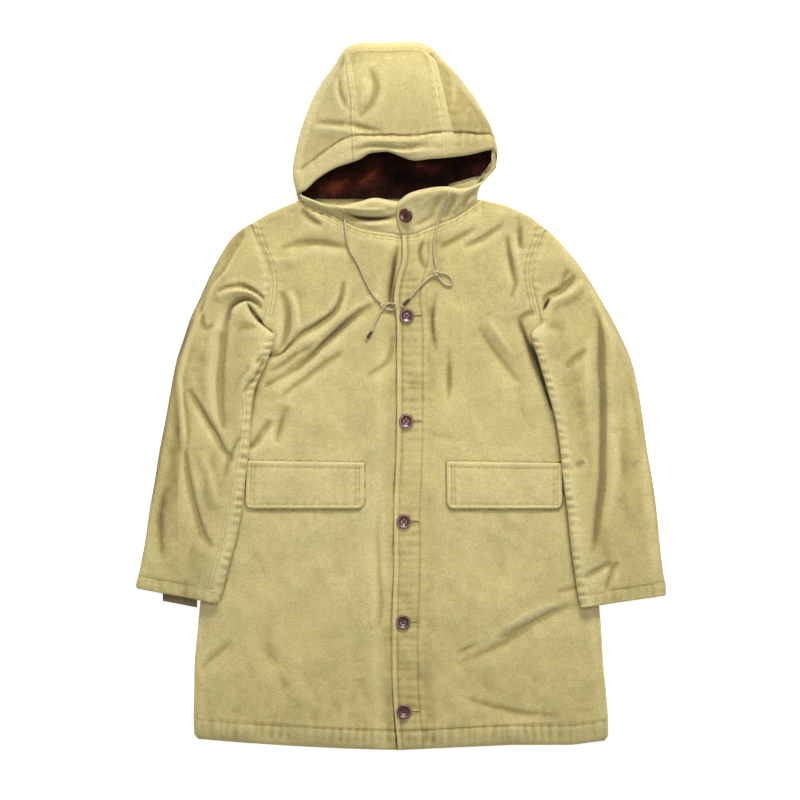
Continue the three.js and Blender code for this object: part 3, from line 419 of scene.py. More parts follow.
RUMPLE_TURN = 0.5           # radians between the ripples and the hem


def rumple(x, y, seed, strength=1.0):
    """The small unevenness of lined cloth: broad swells, ripples and fine dents."""
    across = x * math.cos(RUMPLE_TURN) + y * math.sin(RUMPLE_TURN)
    along = y * math.cos(RUMPLE_TURN) - x * math.sin(RUMPLE_TURN)
    broad = 1.3 * undulation(across, along, 74, seed) + 0.8 * undulation(x, y, 41, seed + 1)
    ripple = 0.45 * undulation(across, along * 0.6, 19, seed + 2)
    fine = 0.16 * undulation(x, y, 8.5, seed + 3)
    return strength * (broad + ripple + fine)


FOLD_REACH = 2.4            # how many times its width a fold is followed to
FOLD_TAPER = 0.7            # lower for folds that keep their height up to their ends
FOLD_FLANK = (0.85, 1.4)    # share of its width, and how round its crest is


def fold_lift(x, y, folds):
    """How far the folds lift or sink the cloth at each place."""
    lift = np.zeros(np.shape(x))
    for fold in folds:
        path = smooth_path(fold.path)
        reach = FOLD_REACH * max(fold.left, fold.right)
        low, high = path.min(0) - reach, path.max(0) + reach
        near = (x > low[0]) & (x < high[0]) & (y > low[1]) & (y < high[1])
        if not near.any():
            continue
        places = np.stack([x[near], y[near]], -1)
        away = places[:, None, :] - path[None, :, :]
        square = (away**2).sum(-1)
        nearest = square.argmin(1)
        direction = np.gradient(path, axis=0)[nearest]
        offset = away[np.arange(len(places)), nearest]
        on_left = direction[:, 0] * offset[:, 1] - direction[:, 1] * offset[:, 0] > 0
        width = np.where(on_left, fold.left, fold.right)
        distance = np.sqrt(square[np.arange(len(places)), nearest])
        taper = np.abs(np.sin(np.pi * nearest / (len(path) - 1))) ** FOLD_TAPER
        flank = np.exp(-((distance / (FOLD_FLANK[0] * width)) ** FOLD_FLANK[1]))
        lift[near] += fold.height * taper * flank
    return lift


# Painted shade and shadow along creases, as folds whose height is a shade: beyond about -1 the near-black
# painted shadow of the innermost part, which no light reaches
PAINTED_CREASE_SHADOWS = [
    Fold([(-92, 310), (-70, 304), (-45, 302.5), (-14, 305)], 3.2, 4.4, -3),
    Fold([(-3, 256), (-8, 240), (-13, 205), (-18, 165), (-17, 140)], 4, 7, -1.3),
    Fold([(-166, 326), (-158, 318), (-150, 309)], 3, 3, -1.4),
    Fold([(-262, 160), (-251, 142), (-234, 123), (-222, 113), (-207, 101)], 2.6, 2.6, -2.2),
    Fold([(-228, 67), (-203, 73), (-190, 86), (-178, 100)], 3, 2.4, -1.5),
    Fold([(-294, 131), (-287, 150), (-275, 160), (-260, 164), (-246, 157)], 3, 2, -1.3),
    Fold([(198, 138), (205, 118), (213, 97), (228, 62), (242, 26), (252, -6)], 6, 7, -1.5),
    Fold([(240, 144), (247, 156), (253, 167)], 2.6, 2.6, -2),
    Fold([(253, 167), (275, 178), (300, 206)], 2.6, 2.6, -1),
    Fold([(-250, 30), (-246, 44), (-236, 60)], 2.4, 2.4, -1),
    Fold([(-56, 152), (-99, 119), (-134, 88), (-159, 63), (-190, 41)], 8, 11, -0.85),
    Fold([(-99, 190), (-103, 166), (-118, 142), (-145, 121), (-180, 97)], 5, 6, -0.55),
    Fold([(-197, 160), (-193, 122), (-201, 92)], 6, 6, -0.5),
    Fold([(-248, -4), (-233, 12), (-214, 27)], 11, 10, -0.75),
    Fold([(-258, -93), (-248, -78), (-238, -64)], 4.5, 5.5, -1.1),
    Fold([(-214, -84), (-206, -50), (-197, -10)], 11, 13, -0.65),
    Fold([(-172, 258), (-146, 260), (-100, 255)], 4, 7, -0.6),
    Fold([(57, 168), (53, 130), (60, 76)], 5, 7, -0.85),
    Fold([(82, 60), (83, 30), (85, -8)], 7, 8, -0.65),
    Fold([(177, 280), (184, 241), (189, 215), (194, 184)], 5, 6, -0.75),
    Fold([(201, 290), (203, 262), (204, 244)], 8, 9, -0.7),
]
UPPER_SIDE = 4              # least height of cloth that gets the painted crease shadow


def painted_crease_shadow(points):
    """The painted crease shadow, on the cloth's upper side only."""
    return fold_lift(points[..., 0], points[..., 1], PAINTED_CREASE_SHADOWS) * (points[..., 2] > UPPER_SIDE)


# Meshes


SHARP_ANGLE = 1.15


def make_object(name, points, faces, material, smooth=True):
    mesh = bpy.data.meshes.new(name)
    mesh.from_pydata((np.asarray(points) * MM).tolist(), [], faces)
    mesh.validate()
    if smooth:
        mesh.shade_smooth()
        mesh.set_sharp_from_angle(angle=SHARP_ANGLE)
    mesh.materials.append(material)
    made = bpy.data.objects.new(name, mesh)
    bpy.context.scene.collection.objects.link(made)
    return made


def set_weave_map(made, places):
    """A UV map whose unit is a metre of cloth, so a weave keeps its real size."""
    mesh = made.data
    layer = mesh.uv_layers.new(name="cloth")
    corners = np.zeros(len(mesh.loops), int)
    mesh.loops.foreach_get("vertex_index", corners)
    layer.data.foreach_set("uv", (np.asarray(places)[corners] * MM).astype(np.float32).ravel())


def set_wear_and_shade(made, wear_and_shade):
    """How worn each place is, with the light and shade painted on it: above 0 on ridges and edges, for wear
    and painted highlight, and below 0 in troughs, for painted shade.
    """
    attribute = made.data.attributes.new("wear_and_shade", "FLOAT", "POINT")
    attribute.data.foreach_set("value", np.asarray(wear_and_shade, np.float32))


CREST_AROUND = 4            # points of a grid each way that make a place's surroundings
FULL_CREST = 0.85           # height above them at which cloth wholly takes the paler colour of wear and painted highlight; as far below them, the full painted shade of a trough
WORN_EDGE = 0.6


def crest_of(z):
    """Where a grid of heights stands above or below its surroundings, about -1 to 1."""
    padded = np.pad(z, CREST_AROUND, mode="edge")
    total = np.cumsum(np.cumsum(np.pad(padded, ((1, 0), (1, 0))), 0), 1)
    size = 2 * CREST_AROUND + 1
    window = total[size:, size:] - total[:-size, size:] - total[size:, :-size] + total[:-size, :-size]
    return np.clip((z - window / size**2) / FULL_CREST, -1, 1)


def skin_faces(shape, start, turned, closed=False):
    """The faces of a grid of points, or of rings when closed, that look the other way when turned."""
    index = np.arange(shape[0] * shape[1]).reshape(shape[:2]) + start
    if closed:
        index = np.concatenate([index, index[:, :1]], 1)
    quads = np.stack([index[:-1, :-1], index[:-1, 1:], index[1:, 1:], index[1:, :-1]], -1).reshape(-1, 4)
    return (quads[:, ::-1] if turned else quads).tolist()


def rim_of(rows, columns, offset=0):
    """Indices around the border of a grid, without repeating the first."""
    index = np.arange(rows * columns).reshape(rows, columns) + offset
    return [*index[0, :], *index[1:, -1], *index[-1, :-1][::-1], *index[1:-1, 0][::-1]]


def shell(name, upper, under, material, step=UNDER_STEP, flip=False, tone_and_light=0.0):
    """A closed cloth: a fine upper skin, and an under skin with every step-th of its points."""
    rows, columns = upper.shape[:2]
    coarse = under[::step, ::step]
    points = np.concatenate([upper.reshape(-1, 3), coarse.reshape(-1, 3)])
    faces = skin_faces(upper.shape, 0, flip) + skin_faces(coarse.shape, rows * columns, not flip)
    fine_rim = rim_of(rows, columns)
    coarse_rim = rim_of(*coarse.shape[:2], rows * columns)
    for k, corner in enumerate(coarse_rim):
        following = coarse_rim[(k + 1) % len(coarse_rim)]
        chain = [fine_rim[(k * step + s) % len(fine_rim)] for s in range(step + 1)]
        wall = [*chain[::-1], corner, following]
        faces.append(wall[::-1] if flip else wall)
    made = make_object(name, points, faces, material)
    # Paler ridges and edges for wear and painted highlight, painted shade in troughs, the piece's tone and
    # painted light, and the painted crease shadows
    wear_and_shade = crest_of(upper[..., 2]) + tone_and_light + painted_crease_shadow(upper)
    border = np.minimum.outer(
        np.minimum(np.arange(rows), np.arange(rows)[::-1]),
        np.minimum(np.arange(columns), np.arange(columns)[::-1]),
    )
    wear_and_shade = np.where(border < CREST_AROUND, np.maximum(wear_and_shade, WORN_EDGE), wear_and_shade)
    set_wear_and_shade(made, np.concatenate([wear_and_shade.ravel(), np.zeros(coarse.shape[0] * coarse.shape[1])]))
    return made


def tube(name, outer, inner, material, step=UNDER_STEP, flip=False, tone_and_light=0.0):
    """A closed tube of cloth with both ends open: rings of points outside and inside."""
    rings, around = outer.shape[:2]
    coarse = inner[::step, ::step]
    points = np.concatenate([outer.reshape(-1, 3), coarse.reshape(-1, 3)])
    faces = skin_faces(outer.shape, 0, flip, True) + skin_faces(coarse.shape, rings * around, not flip, True)
    size = coarse.shape[1]
    for ring, inner_ring, turned in ((0, 0, flip), (rings - 1, coarse.shape[0] - 1, not flip)):
        for k in range(size):
            start = rings * around + inner_ring * size
            chain = [ring * around + (k * step + s) % around for s in range(step + 1)]
            wall = [*chain[::-1], start + k, start + (k + 1) % size]
            faces.append(wall[::-1] if turned else wall)
    made = make_object(name, points, faces, material)
    # Paler ridges for wear and painted highlight, painted shade in troughs, the piece's tone and painted
    # light, and the painted crease shadows
    wear_and_shade = crest_of(outer[..., 2]) + tone_and_light + painted_crease_shadow(outer)
    set_wear_and_shade(made, np.concatenate([wear_and_shade.ravel(), np.zeros(coarse.shape[0] * size)]))
    return made


# Materials


def new_material(name):
    material = bpy.data.materials.new(name)
    material.use_nodes = True
    return material, material.node_tree.nodes, material.node_tree.links


def set_inputs(made, **inputs):
    """Sets a node's inputs by name, where spaces are written as underscores."""
    for name, value in inputs.items():
        made.inputs[name.replace("_", " ")].default_value = value
    return made


def node(nodes, kind, **inputs):
    return set_inputs(nodes.new(kind), **inputs)


def mapped(nodes, links, source, low, high, new_low, new_high):
    made = node(nodes, "ShaderNodeMapRange", From_Min=low, From_Max=high, To_Min=new_low, To_Max=new_high)
    links.new(source, made.inputs["Value"])
    return made.outputs["Result"]


def calculated(nodes, links, operation, first, second):
    made = nodes.new("ShaderNodeMath")
    made.operation = operation
    for socket, value in zip(made.inputs, (first, second)):
        if isinstance(value, (int, float)):
            socket.default_value = value
        else:
            links.new(value, socket)
    return made.outputs["Value"]


def new_group(name, inputs, outputs):
    group = bpy.data.node_groups.new(name, "ShaderNodeTree")
    for label, kind, value in inputs:
        socket = group.interface.new_socket(label, in_out="INPUT", socket_type=kind)
        if value is not None:
            socket.default_value = value
    for label, kind in outputs:
        group.interface.new_socket(label, in_out="OUTPUT", socket_type=kind)
    return group, group.nodes.new("NodeGroupInput"), group.nodes.new("NodeGroupOutput")


def build_rib_weave():
    """Fine ribs of a tightly woven cotton: their height, and the shade between them."""
    group, given, result = new_group(
        "rib_weave",
        [("Place", "NodeSocketVector", None), ("Ribs per Metre", "NodeSocketFloat", 900.0)],
        [("Height", "NodeSocketFloat"), ("Shade", "NodeSocketFloat")],
    )
    nodes, links = group.nodes, group.links
    split = nodes.new("ShaderNodeSeparateXYZ")
    links.new(given.outputs["Place"], split.inputs[0])
    turns = calculated(nodes, links, "MULTIPLY", given.outputs["Ribs per Metre"], 2 * math.pi)
    ribs = []
    for axis, share in ((0, 1.0), (1, 0.55)):
        angle = calculated(nodes, links, "MULTIPLY", split.outputs[axis], turns)
        angle = calculated(nodes, links, "MULTIPLY", angle, share)
        wave = calculated(nodes, links, "SINE", angle, 0)
        ribs.append(calculated(nodes, links, "ABSOLUTE", wave, 0))
    height = calculated(nodes, links, "MULTIPLY", ribs[0], calculated(nodes, links, "ADD", ribs[1], 0.6))
    slub = node(nodes, "ShaderNodeTexNoise", Scale=420.0, Detail=2.0)
    links.new(given.outputs["Place"], slub.inputs["Vector"])
    height = calculated(nodes, links, "ADD", height, slub.outputs[0])
    links.new(height, result.inputs["Height"])
    links.new(mapped(nodes, links, height, 0.4, 2.0, 0.86, 1.08), result.inputs["Shade"])
    return group


def build_mottle():
    """Uneven dye and washing: fine speckle and broad clouds, as a factor around 1."""
    group, given, result = new_group(
        "washed_mottle",
        [("Speckle", "NodeSocketFloat", 0.1), ("Clouds", "NodeSocketFloat", 0.1)],
        [("Shade", "NodeSocketFloat")],
    )
    nodes, links = group.nodes, group.links
    place = nodes.new("ShaderNodeTexCoord").outputs["Object"]
    total = None
    for label, scale, detail in (("Speckle", 330.0, 3.0), ("Clouds", 19.0, 4.0)):
        noise = node(nodes, "ShaderNodeTexNoise", Scale=scale, Detail=detail)
        links.new(place, noise.inputs["Vector"])
        centred = mapped(nodes, links, noise.outputs[0], 0.25, 0.75, -1.0, 1.0)
        part = calculated(nodes, links, "MULTIPLY", centred, given.outputs[label])
        total = part if total is None else calculated(nodes, links, "ADD", total, part)
    links.new(calculated(nodes, links, "ADD", total, 1.0), result.inputs["Shade"])
    return group


# Wear and painted light from and to which a colour takes over, and how much of it there is at the end: the
# paler colour of wear and painted highlight on ridges, painted shade in troughs, and near-black painted
# shadow in the deepest creases
WEAR_AND_SHADE_STEPS = (
    (0.05, 1.0, "Faded", 0.75),
    (-0.05, -1.15, "Deep", 0.95),
    (-1.2, -2.2, "Hidden", 0.92),
)


def build_fold_wear_and_shade():
    """Cloth is paler on its ridges and edges, for wear and painted highlight, darker in its troughs, for
    painted shade, and near black where painted shadow fills the deepest creases.
    """
    group, given, result = new_group(
        "fold_wear_and_shade",
        [
            ("Colour", "NodeSocketColor", None),
            ("Faded", "NodeSocketColor", None),
            ("Deep", "NodeSocketColor", None),
            ("Hidden", "NodeSocketColor", None),
        ],
        [("Colour", "NodeSocketColor")],
    )
    nodes, links = group.nodes, group.links
    wear_and_shade = nodes.new("ShaderNodeAttribute")
    wear_and_shade.attribute_name = "wear_and_shade"
    colour = given.outputs["Colour"]
    for low, high, label, most in WEAR_AND_SHADE_STEPS:
        mix = nodes.new("ShaderNodeMix")
        mix.data_type = "RGBA"
        links.new(mapped(nodes, links, wear_and_shade.outputs["Fac"], low, high, 0.0, most), mix.inputs["Factor"])
        links.new(colour, mix.inputs[6])
        links.new(given.outputs[label], mix.inputs[7])
        colour = mix.outputs[2]
    links.new(colour, result.inputs["Colour"])
    return group


RIB_WEAVE = build_rib_weave()
MOTTLE = build_mottle()
FOLD_WEAR_AND_SHADE = build_fold_wear_and_shade()


def placed_group(nodes, group, **inputs):
    made = nodes.new("ShaderNodeGroup")
    made.node_tree = group
    return set_inputs(made, **inputs)


def shaded(nodes, links, colour, shade):
    """A colour made darker or lighter by a factor."""
    made = nodes.new("ShaderNodeVectorMath")
    made.operation = "SCALE"
    links.new(colour, made.inputs[0])
    links.new(shade, made.inputs["Scale"])
    return made.outputs[0]


def bump_into(nodes, links, shader, height, distance):
    bump = node(nodes, "ShaderNodeBump", Strength=1.0, Distance=distance)
    links.new(height, bump.inputs["Height"])
    links.new(bump.outputs["Normal"], shader.inputs["Normal"])


# Colour of the painted shadow in the deepest creases, where no light reaches
PAINTED_SHADOW_COLOUR = (0.05, 0.035, 0.014, 1)
SOFT_BUMP = 0.0006          # metres


def woven_material(name, colour, tone_and_light, deep, ribs, speckle, clouds, depth):
    material, nodes, links = new_material(name)
    shader = set_inputs(
        nodes["Principled BSDF"], Roughness=0.88, Specular_IOR_Level=0.25,
        Sheen_Weight=0.12, Sheen_Roughness=0.5,
    )
    weave = placed_group(nodes, RIB_WEAVE, Ribs_per_Metre=ribs)
    links.new(nodes.new("ShaderNodeUVMap").outputs["UV"], weave.inputs["Place"])
    wear_and_shade = placed_group(nodes, FOLD_WEAR_AND_SHADE, Colour=colour, Faded=tone_and_light, Deep=deep, Hidden=PAINTED_SHADOW_COLOUR)
    mottle = placed_group(nodes, MOTTLE, Speckle=speckle, Clouds=clouds)
    shade = calculated(nodes, links, "MULTIPLY", mottle.outputs["Shade"], weave.outputs["Shade"])
    links.new(shaded(nodes, links, wear_and_shade.outputs["Colour"], shade), shader.inputs["Base Color"])
    bump_into(nodes, links, shader, weave.outputs["Height"], depth)
    return material


def soft_material(name, colour, speckle, clouds, roughness, sheen=0.0):
    material, nodes, links = new_material(name)
    shader = set_inputs(nodes["Principled BSDF"], Roughness=roughness, Sheen_Weight=sheen)
    mottle = placed_group(nodes, MOTTLE, Speckle=speckle, Clouds=clouds)
    plain = node(nodes, "ShaderNodeRGB")
    plain.outputs[0].default_value = colour
    links.new(shaded(nodes, links, plain.outputs[0], mottle.outputs["Shade"]), shader.inputs["Base Color"])
    bump_into(nodes, links, shader, mottle.outputs["Shade"], SOFT_BUMP)
    return material


def pile_material(name, colour, lit, deep):
    """Sheared pile: matt and dark, redder where light is painted on it, and near black in painted shade."""
    material, nodes, links = new_material(name)
    shader = set_inputs(nodes["Principled BSDF"], Roughness=1.0, Specular_IOR_Level=0.1)
    wear_and_shade = placed_group(nodes, FOLD_WEAR_AND_SHADE, Colour=colour, Faded=lit, Deep=deep, Hidden=deep)
    mottle = placed_group(nodes, MOTTLE, Speckle=0.5, Clouds=0.35)
    colour = shaded(nodes, links, wear_and_shade.outputs["Colour"], mottle.outputs["Shade"])
    links.new(colour, shader.inputs["Base Color"])
    bump_into(nodes, links, shader, mottle.outputs["Shade"], SOFT_BUMP)
    return material


# Shell cloth: its colour, the paler colour of worn ridges with a painted highlight, and the painted shade of
# troughs
SHELL_CLOTH = woven_material(
    "shell_cloth", (0.51, 0.425, 0.172, 1), (0.62, 0.535, 0.255, 1), (0.31, 0.24, 0.078, 1),
    ribs=620.0, speckle=0.17, clouds=0.085, depth=0.00025,
)
# Pile: its colour, the painted light of its lit patches, and the near-black painted shade inside the hood
PILE = pile_material(
    "pile_lining", (0.030, 0.007, 0.003, 1), (0.17, 0.036, 0.014, 1), (0.0015, 0.0006, 0.0004, 1),
)
KNIT = soft_material("knit_cuff", (0.13, 0.095, 0.045, 1), 0.25, 0.15, 0.95, sheen=0.2)
THREAD = soft_material("thread", (0.33, 0.265, 0.11, 1), 0.15, 0.05, 0.8)
DARK_THREAD = soft_material("button_thread", (0.02, 0.012, 0.01, 1), 0.2, 0.1, 0.8)
BRAID = soft_material("drawcord_braid", (0.37, 0.30, 0.16, 1), 0.3, 0.06, 0.85)
TIP = soft_material("cord_tip", (0.03, 0.02, 0.014, 1), 0.2, 0.1, 0.45)
PLASTIC = soft_material("button_plastic", (0.075, 0.013, 0.008, 1), 0.25, 0.5, 0.27)
set_inputs(PLASTIC.node_tree.nodes["Principled BSDF"], Coat_Weight=0.8, Coat_Roughness=0.2)


# The body's upper surface, as heights over the plan


def body_height(x, y):
    """Upper side of the two fronts where they lie on the back, without the overlap."""
    side, hem, neck = from_edges(x, y)
    beside_sleeve = smooth_step((y - 105) / 40)
    free_height, sewn_height = 7.4 + 8.9 * rounded(side, 60), 12 + 4.3 * rounded(side, 16)
    side_height = (1 - beside_sleeve) * free_height + beside_sleeve * sewn_height
    hem_drop = 7.5 * (1 - rounded(hem, 34))
    neck_drop = 3.6 * (1 - rounded(neck, 22))
    edge_round = 1.5 * (1 - rounded(np.minimum(side, hem), 2.6))
    return side_height - hem_drop - neck_drop - edge_round


def calm_near_edges(x, y):
    """Folds and rumples fade towards sewn edges."""
    side, hem, neck = from_edges(x, y)
    return smooth_step(side / 16) * smooth_step((hem + 4) / 26) * smooth_step((neck + 2) / 18)


def puckers(along, away, reach, seed):
    """Small uneven tucks that stitching pulls into cloth, across the line it runs along."""
    wander = 2.4 * undulation(along, away * 0.3, 17, seed)
    uneven = 0.6 + 0.5 * undulation(along, away * 0, 33, seed + 1)
    return uneven * np.sin(along / 2.3 + wander) * np.exp(-((away / reach) ** 2))


def groove(away, width):
    """1 on a line and 0 away from it, for grooves, soft ridges and shades."""
    return np.exp(-((away / width) ** 2))


def sewn_relief(x, y, placket):
    """Grooves and puckers along the hem, the armholes, the neck and the front edge."""
    side, hem, neck = from_edges(x, y)
    by_sleeve = smooth_step((y - 125) / 16)
    on_neck = smooth_step((170 - np.abs(x + 10)) / 20)
    relief = 0.55 * puckers(x, hem - 22, 16, 81) - 1.0 * groove(hem - 33, 1.9)
    relief += by_sleeve * (0.7 * puckers(y, side - 9, 12, 83) - 0.9 * groove(side - 6.5, 1.5))
    relief -= by_sleeve * 0.9 * groove(side - 13, 1.5)
    relief += on_neck * (0.6 * puckers(x, neck - 5, 9, 85) - 0.9 * groove(neck - 5, 1.5))
    relief -= on_neck * 0.7 * groove(neck - 11, 1.5)
    relief += 0.35 * puckers(y, placket - 26, 26, 87)
    return relief


def swell_of(x, y):
    """How the layers thicken from 0 at the sides and the hem to 1 further in."""
    side, hem, _ = from_edges(x, y)
    return rounded(np.minimum(side, hem), SWELL_REACH)


def front_height(x, y, is_left):
    """Upper side of a front, with its folds."""
    front = body_edge("front", y)
    folds = LEFT_FRONT_FOLDS if is_left else RIGHT_FRONT_FOLDS
    calm = calm_near_edges(x, y)
    placket = x - front
    height = body_height(x, y) + calm * (1.5 * fold_lift(x, y, folds) + rumple(x, y, 11, 1.35))
    height = height + sewn_relief(x, y, placket)
    if is_left:
        on_placket = smooth_step((UNDERLAP - placket) / 12)
        roll = 0.8 * groove(placket - 4, 4) - 0.7 * groove(placket - 9, 1.8)
        facing_seam = -0.8 * groove(placket - 44, 1.8)
        edge = -1.8 * (1 - rounded(placket, 2.4))
        height = height + on_placket * (0.4 + roll) + facing_seam + edge
    else:
        height = height - 4.4 * smooth_step((placket + 34) / 30)
    return np.maximum(height, LEAST_FRONT + BACK_SWELL * swell_of(x, y))


PANEL_SIZE = (330, 880)
PLAN_ROUNDS = 14            # x and y settle well within this many


def plan_grid(first, last, top_line, spacing=GRID):
    """Places of a body panel between two body edges, as names and shifts, and two lines."""
    across, along = (edge_spacing(length, spacing) for length in PANEL_SIZE)
    t, s = np.meshgrid(along, across, indexing="ij")
    y = -500 + 800 * t
    for _ in range(PLAN_ROUNDS):
        low, high = (body_edge(name, y) + shift for name, shift in (first, last))
        x = low + (high - low) * s
        hem, top = line_y(HEM_LINE, x), line_y(top_line, x)
        y = hem + (top - hem) * t
    return x, y


def stacked(x, y, z):
    return np.stack([x, y, z], -1)


def weave_places(grid, step=UNDER_STEP):
    """Where the weave lies on both skins of a cloth; a flat one's follows its plan."""
    return np.concatenate([grid[..., :2].reshape(-1, 2), grid[::step, ::step, :2].reshape(-1, 2)])


def declare(made, slot, *nodes):
    """Says a piece's body and hides the nodes that it replaces; its material slot is not used."""
    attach(made, "root")
    if nodes:
        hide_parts(*nodes)


def declare_cloth(made, slot, nodes, area):
    declare(made, slot, *nodes)


def skin_area(points):
    """Area of a grid of points, in square millimetres."""
    a = points[1:, :-1] - points[:-1, :-1]
    b = points[:-1, 1:] - points[:-1, :-1]
    return float(np.linalg.norm(np.cross(a, b), axis=-1).sum())


def painted_edge_shadow(x, y, is_left):
    """Painted shadow: a narrow dark line on a front beside each thing that lies on it: flap, sleeve, left
    front.
    """
    flap, rows = (LEFT_FLAP, LEFT_SLEEVE_ROWS) if is_left else (RIGHT_FLAP, RIGHT_SLEEVE_ROWS)
    (right_x, right_y), (left_x, left_y) = flap.top_right, flap.top_left
    corner = np.where(y < flap.bottom + 30, 13, 0.5)
    top = np.interp(x, [right_x, left_x], [right_y, left_y])
    past_side = np.maximum(right_x - x, x - left_x) + corner
    past_end = np.maximum(flap.bottom - y, y - top) + corner
    outside = np.hypot(np.maximum(past_side, 0), np.maximum(past_end, 0)) - corner
    shade = 1.8 * groove(outside - 0.9, 1.4)
    edge_y, edge_x = column(rows, "inner_y")[::-1], column(rows, "inner")[::-1]
    from_sleeve = np.abs(np.interp(y, edge_y, edge_x)) - np.abs(x)
    along_sleeve = smooth_step((125 - y) / 30) * smooth_step((y - edge_y[0]) / 8)
    shade += (1.8 if is_left else 1.4) * along_sleeve * groove(from_sleeve - 1, 3.2)
    if not is_left:
        shade += 1.9 * groove(x - body_edge("front", y) + 1, 1.5)
    return -shade


def front_tone_and_shade(x, y, is_left):
    """The fronts' tone: palest around the pockets, darker towards the hem by painted shade, and with painted
    shadow beside what lies on them.
    """
    pale = (0.4 if is_left else 0.6) * groove(y + 190, 210)
    from_placket = np.abs(x - body_edge("front", y) - 10)
    by_front = 0.35 * smooth_step((UNDERLAP + 14 - from_placket) / 20) if is_left else 0
    # painted shade, darker towards the hem
    hem_shade = 0.25 * smooth_step((-400 - y) / 160)
    return pale - by_front - hem_shade + 0.12 * undulation(x, y, 95, 15) + painted_edge_shadow(x, y, is_left)


def build_front(name, is_left):
    sides = (("front", 0), ("left", 0)) if is_left else (("right", 0), ("front", UNDERLAP))
    x, y = plan_grid(*sides, SHOULDER_AND_NECK_LINE)
    upper = stacked(x, y, front_height(x, y, is_left))
    placket = x - body_edge("front", y)
    thin = smooth_step((UNDERLAP + 12 - placket) / 14) if is_left else smooth_step((placket + 30) / 30)
    wall = LINED + (HEMMED - 0.6 - LINED) * thin
    wall = LEAST_PLY + (wall - LEAST_PLY) * swell_of(x, y)
    under_z = np.minimum(np.maximum(upper[..., 2] - wall, BACK_EDGE), upper[..., 2] - LEAST_PLY)
    under = stacked(x, y, under_z)
    made = shell(f"{name}_cloth", upper, under, SHELL_CLOTH, tone_and_light=front_tone_and_shade(x, y, is_left))
    set_weave_map(made, weave_places(upper))
    declare_cloth(made, "shell_cloth", [name], area=skin_area(upper))
    return made


BACK_GRID = 7
BACK_PROUD = 0.5            # how far the back reaches past the fronts at each side


def build_back():
    x, y = plan_grid(("right", -BACK_PROUD), ("left", BACK_PROUD), BACK_NECK_LINE, BACK_GRID)
    side, hem, _ = from_edges(x, y)
    inside = np.minimum(side + BACK_PROUD, hem)
    swell = rounded(inside, SWELL_REACH)
    top = BACK_EDGE + BACK_SWELL * swell
    lift = np.maximum(0, fold_lift(x, y, BACK_FOLDS))
    under = stacked(x, y, np.maximum(0, 0.9 * (1 - rounded(inside, 6)) + lift * swell))
    upper = stacked(x, y, np.maximum(top, under[..., 2] + 1.5))
    made = shell("back_cloth", under, upper, SHELL_CLOTH, step=1, flip=True)
    set_weave_map(made, weave_places(under, 1))
    declare_cloth(made, "shell_cloth", ["back"], area=skin_area(under))


# Sleeves


def sleeve_rise(x, y):
    """How high a sleeve's under side lies: on the floor, or on the body beside it."""
    side, _, _ = from_edges(x, y)
    sewn = smooth_step((y - 108) / 34)
    return 17 * smooth_step((side + 34) / 60) * (1 - sewn)


